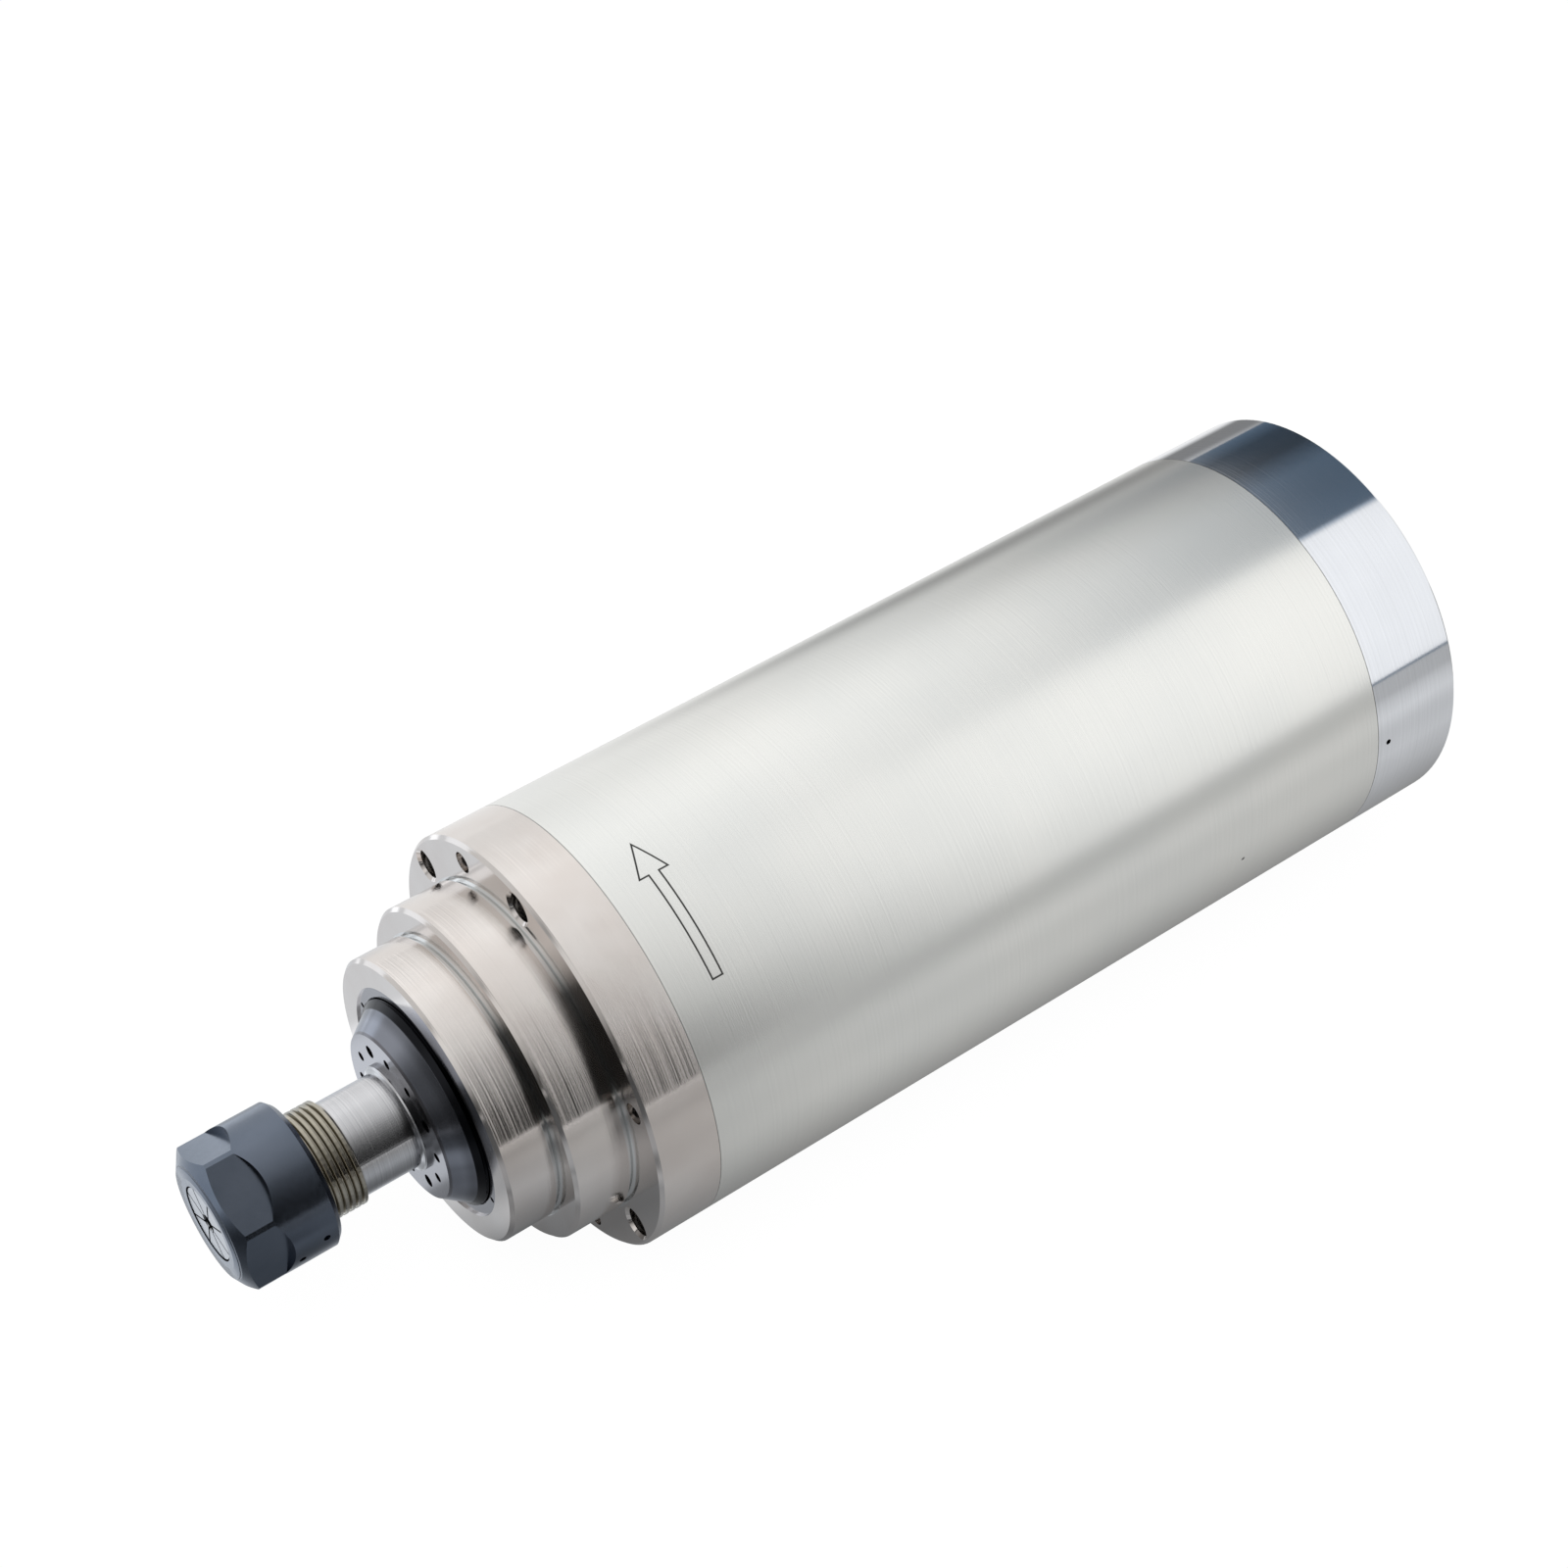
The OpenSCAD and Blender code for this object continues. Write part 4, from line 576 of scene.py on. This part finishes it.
studio = {
    # greys of the studio round the spindle's axis, as [clock angle, grey]: one ring for each of the zones
    # that metal mirrors, in the order in which the rays run ever more to the rear
    "rings": [
        # bevels
        [(0, 0.6), (36, 0.7), (65, 0.66), (106, 0.5), (145, 0.26), (162, 0.1), (180, 0.03)],
        # the slinger's cone
        [(0, 0.55), (36, 0.5), (48, 0.32), (60, 0.2), (76, 0.11), (94, 0.06), (117, 0.03), (163, 0.03),
         (180, 0.04)],
        # front faces
        [(0, 0.5), (20, 0.48), (45, 0.55), (75, 0.56), (92, 0.38), (108, 0.04), (133, 0.012), (160, 0.01),
         (180, 0.01)],
        # nut
        [(0, 0.95), (14, 0.96), (32, 0.98), (50, 0.9), (68, 0.7), (86, 0.58), (104, 0.41), (122, 0.15),
         (140, 0.04), (154, 0.01), (170, 0.01), (180, 0.03)],
        # shank and nose
        [(0, 0.62), (14, 0.64), (32, 0.7), (50, 0.78), (68, 0.7), (86, 0.62), (104, 0.46), (122, 0.2),
         (140, 0.05), (154, 0.01), (170, 0.01), (180, 0.03)],
        # flange
        [(0, 0.72), (14, 0.73), (32, 0.76), (50, 0.82), (68, 0.79), (86, 0.75), (104, 0.68), (122, 0.63),
         (140, 0.44), (158, 0.09), (170, 0.03), (180, 0.02)],
        # sleeve
        [(0, 0.6), (14, 0.72), (32, 0.84), (50, 0.86), (68, 0.85), (86, 0.82), (104, 0.86), (122, 0.9),
         (140, 0.94), (158, 0.86), (176, 0.72), (180, 0.66)],
        # the sleeve's rear end
        [(0, 0.2), (14, 0.22), (32, 0.53), (50, 0.67), (68, 0.69), (86, 0.7), (104, 0.8), (122, 0.85),
         (140, 0.84), (158, 0.84), (176, 0.82), (180, 0.8)],
        # cap
        [(0, 0.1), (14, 0.04), (32, 0.03), (50, 0.09), (68, 0.085), (88, 0.095), (92, 0.74), (104, 0.76),
         (122, 0.76), (140, 0.76), (158, 0.76), (176, 0.74), (180, 0.7)]],
    # where one ring gives way to the next, as spans of a ray's x
    "turnOver": [
        (-0.92, -0.87), (-0.58, -0.45), (-0.1, 0.15), (0.215, 0.24), (0.285, 0.335), (0.35, 0.4),
        (0.44, 0.525), (0.53, 0.552)],
    "gain": 1.25,
    # the blue of the cap's dark part, and the clock angles where it ends
    "shadeTint": (0.68, 1.0, 1.4, 1.0), "shadeEnd": (86.4, 91.8),
    "ambient": (0.62, 0.62, 0.63, 1.0),
    "floor": {
        "glow": 0.92, "lift": 1.04, "size": 6.0, "colour": (0.93, 0.93, 0.93, 1.0), "z": -0.0501,
        # what metal sees of the floor, as [y in metres, grey]
        "mirrored": [
            (-0.4, 0.27), (-0.2, 0.4), (-0.145, 0.41), (-0.094, 0.45), (-0.07, 0.38), (-0.05, 0.28),
            (-0.04, 0.24), (-0.02, 0.17), (-0.01, 0.2), (0.0, 0.45), (0.014, 0.9)],
        # how that grey changes along x, as [start, end, factor before, factor after]: on the camera's side
        # of the axis, far out on that side, and beyond the axis
        "nearSide": (0.0, 0.1, 0.95, 1.28), "farAway": (0.05, 0.2, 1.0, 1.3), "farAwayY": (-0.2, -0.12),
        "front": (-0.06, -0.02, 0.42, 1.0),
        "tipward": (-0.09, -0.065, 0.5, 0.0), "pastTip": (-0.2, -0.12, -0.3, 1.0),
        "farSide": (-0.02, 0.06, 0.8, 1.0), "nutFace": (-0.086, -0.08, 1.45, 1.0), "axisY": (-0.01, 0.01),
        # patches with a light of their own: where they begin and end along x and y, and what they add,
        # as a number or as a change along x; lean is x per y of a slanted patch
        "nearPatches": [
            # seen in the nut's near flat
            {"x": ((-0.078, -0.066), (-0.05, -0.035)), "y": ((-0.095, -0.08), None), "gain": 1.2}],
        "farPatches": [
            # seen in the nut's upper flat and in the edge of its face
            {"x": ((-0.1, -0.085), (-0.059, -0.053)), "y": ((0.13, 0.17), None), "gain": 0.9, "lean": 0.22},
            {"x": (None, (-0.135, -0.11)), "y": (None, (0.04, 0.056)), "gain": -0.6}],
        "patches": [
            # seen in the faces of flange, nose and slinger
            {"x": ((-0.08, -0.065), None), "y": ((-0.03, -0.012), (0.057, 0.066)),
             "gain": (-0.05, -0.012, 0.9, -0.15), "dip": ((0.004, 0.013), (0.025, 0.04)), "dipShare": 0.4},
            {"x": ((-0.062, -0.056), None), "y": ((-0.006, 0.004), (0.0115, 0.0145)),
             "gain": (-0.046, -0.034, -0.62, -0.2)}],
        "frontTint": (0.96, 1.0, 1.05, 1.0), "tintEnd": (-0.03, 0.05),
        # the far corner behind the cap, by x over y, and where it begins in y
        "farCorner": (0.35, 1.0, 0.0, 0.75), "farCornerY": (0.14, 0.24)},
    "key": {"place": (-0.3, -0.5, 1.3), "target": (0.07, 0, 0), "size": 0.9, "power": 6.0},
}


def makeWorld(settings):
    world = bpy.data.worlds.new("studioWorld")
    world.use_nodes = True
    graph = Graph(world.node_tree)
    graph.tree.nodes.clear()
    place = graph.add("ShaderNodeTexCoord")
    x, y, z = graph.split(Wire(graph, place.outputs["Generated"]))
    clock = z.math("ARCTAN2", y) * (180 / math.pi)
    rings = [graph.greys(clock, samples) for samples in settings["rings"]]
    rings[-1] = graph.blend(clock.fade(*settings["shadeEnd"]), rings[-1], settings["shadeTint"], "MULTIPLY")
    seen = rings[0]
    for ring, span in zip(rings[1:], settings["turnOver"]):
        seen = graph.blend(x.ramp(*span), seen, ring)
    rays = graph.add("ShaderNodeLightPath")
    camera = Wire(graph, rays.outputs["Is Camera Ray"])
    diffuse = Wire(graph, rays.outputs["Is Diffuse Ray"])
    lit = graph.blend(diffuse, seen, settings["ambient"])
    colour = graph.blend(camera, lit, white)
    strength = (1.0 - camera) * (1.0 - diffuse) * (settings["gain"] - 1.0) + 1.0
    shader = graph.add("ShaderNodeBackground", None, {"Color": colour, "Strength": strength})
    output = graph.add("ShaderNodeOutputWorld")
    graph.tree.links.new(shader.outputs[0], output.inputs["Surface"])
    bpy.context.scene.world = world


def patchLight(x, y, patches):
    # the product of the patches' factors, each 1 outside its patch
    light = 1.0
    for patch in patches:
        across = x - y * patch["lean"] if "lean" in patch else x
        gain = patch["gain"]
        if isinstance(gain, tuple):
            gain = x.ramp(*gain)
        if "dip" in patch:
            gain = gain * (1.0 - y.between(*patch["dip"]) * patch["dipShare"])
        light = (across.between(*patch["x"]) * y.between(*patch["y"]) * gain + 1.0) * light
    return light


def floorLight(graph, x, y, settings):
    # the light that metal sees at a point of the floor
    across = graph.greys(y, settings["mirrored"])
    farAway = y.ramp(*settings["farAwayY"], x.ramp(*settings["farAway"]), 1.0)
    front = x.ramp(*settings["front"]) + x.ramp(*settings["tipward"]) * x.ramp(*settings["pastTip"])
    near = x.ramp(*settings["nearSide"]) * farAway * front * patchLight(x, y, settings["nearPatches"])
    far = x.ramp(*settings["farSide"]) * x.ramp(*settings["nutFace"])
    far = far * patchLight(x, y, settings["farPatches"])
    along = y.ramp(*settings["axisY"], near, far) * patchLight(x, y, settings["patches"])
    # the corner begins far out in y, so y can be kept off zero there
    corner = (x / y.high(10 * mm)).ramp(*settings["farCorner"]) * y.ramp(*settings["farCornerY"])
    return across * along * (1.0 - corner)


def floorPaper(settings):
    # white for the camera, its own light for metal, and plain paper for the rest
    material = bpy.data.materials.new("floorPaper")
    material.use_nodes = True
    graph = Graph(material.node_tree)
    graph.tree.nodes.clear()
    place = graph.add("ShaderNodeTexCoord")
    x, y = graph.split(Wire(graph, place.outputs["Object"]))[:2]
    rays = graph.add("ShaderNodeLightPath")
    camera = Wire(graph, rays.outputs["Is Camera Ray"])
    glossy = Wire(graph, rays.outputs["Is Glossy Ray"])
    through = Wire(graph, rays.outputs["Is Transmission Ray"])
    tint = graph.blend(x.ramp(*settings["tintEnd"]), settings["frontTint"], white)
    strength = glossy * floorLight(graph, x, y, settings) + (1.0 - glossy) * settings["lift"]
    paper = graph.add("ShaderNodeBsdfDiffuse", None, {"Color": settings["colour"]})
    glow = graph.add("ShaderNodeEmission", None, {
        "Color": graph.blend(glossy, white, tint), "Strength": strength})
    mixed = graph.add("ShaderNodeMixShader", None, {0: camera * settings["glow"] + glossy + through})
    graph.tree.links.new(paper.outputs[0], mixed.inputs[1])
    graph.tree.links.new(glow.outputs[0], mixed.inputs[2])
    output = graph.add("ShaderNodeOutputMaterial")
    graph.tree.links.new(mixed.outputs[0], output.inputs["Surface"])
    return material


def makeFloor(settings):
    bm = bmesh.new()
    bmesh.ops.create_grid(bm, x_segments=1, y_segments=1, size=settings["size"] / 2)
    bmesh.ops.translate(bm, verts=bm.verts, vec=(0, 0, settings["z"]))
    mesh = bpy.data.meshes.new("studioFloor")
    bm.to_mesh(mesh)
    bm.free()
    floor = bpy.data.objects.new("studioFloor", mesh)
    bpy.context.scene.collection.objects.link(floor)
    mesh.materials.append(floorPaper(settings))


def makeLight(name, place, target, size, power):
    data = bpy.data.lights.new(name, "AREA")
    data.shape = "DISK"
    data.size = size
    data.energy = power
    light = bpy.data.objects.new(name, data)
    light.location = place
    light.visible_glossy = False  # metal shows the studio, not the lamp
    light.rotation_mode = "QUATERNION"
    light.rotation_quaternion = (Vector(target) - Vector(place)).to_track_quat("-Z", "Y")
    bpy.context.scene.collection.objects.link(light)


camera = {
    # measured from the silhouettes in the picture
    "place": (-0.19934, -0.36453, 0.53383),
    "right": (0.80626, -0.59156, 0.0),
    "up": (0.43669, 0.59518, 0.67458),
    "forward": (0.39905, 0.54389, -0.73820),
    "lens": 71.29,
}


def makeCamera(settings):
    data = bpy.data.cameras.new("photoCamera")
    data.sensor_width = 36.0
    data.lens = settings["lens"]
    data.clip_start = 0.01
    data.clip_end = 50.0
    eye = bpy.data.objects.new("photoCamera", data)
    right, up = Vector(settings["right"]), Vector(settings["up"])
    back = -Vector(settings["forward"])
    turn = Matrix((right, up, back)).transposed()
    eye.rotation_mode = "QUATERNION"
    eye.rotation_quaternion = turn.to_quaternion()
    eye.location = settings["place"]
    bpy.context.scene.collection.objects.link(eye)
    bpy.context.scene.camera = eye


makeWorld(studio)
makeFloor(studio["floor"])
makeLight("keyLight", **studio["key"])
makeCamera(camera)
bpy.context.scene.view_settings.view_transform = "Standard"
print("stage: floor, light and camera set")
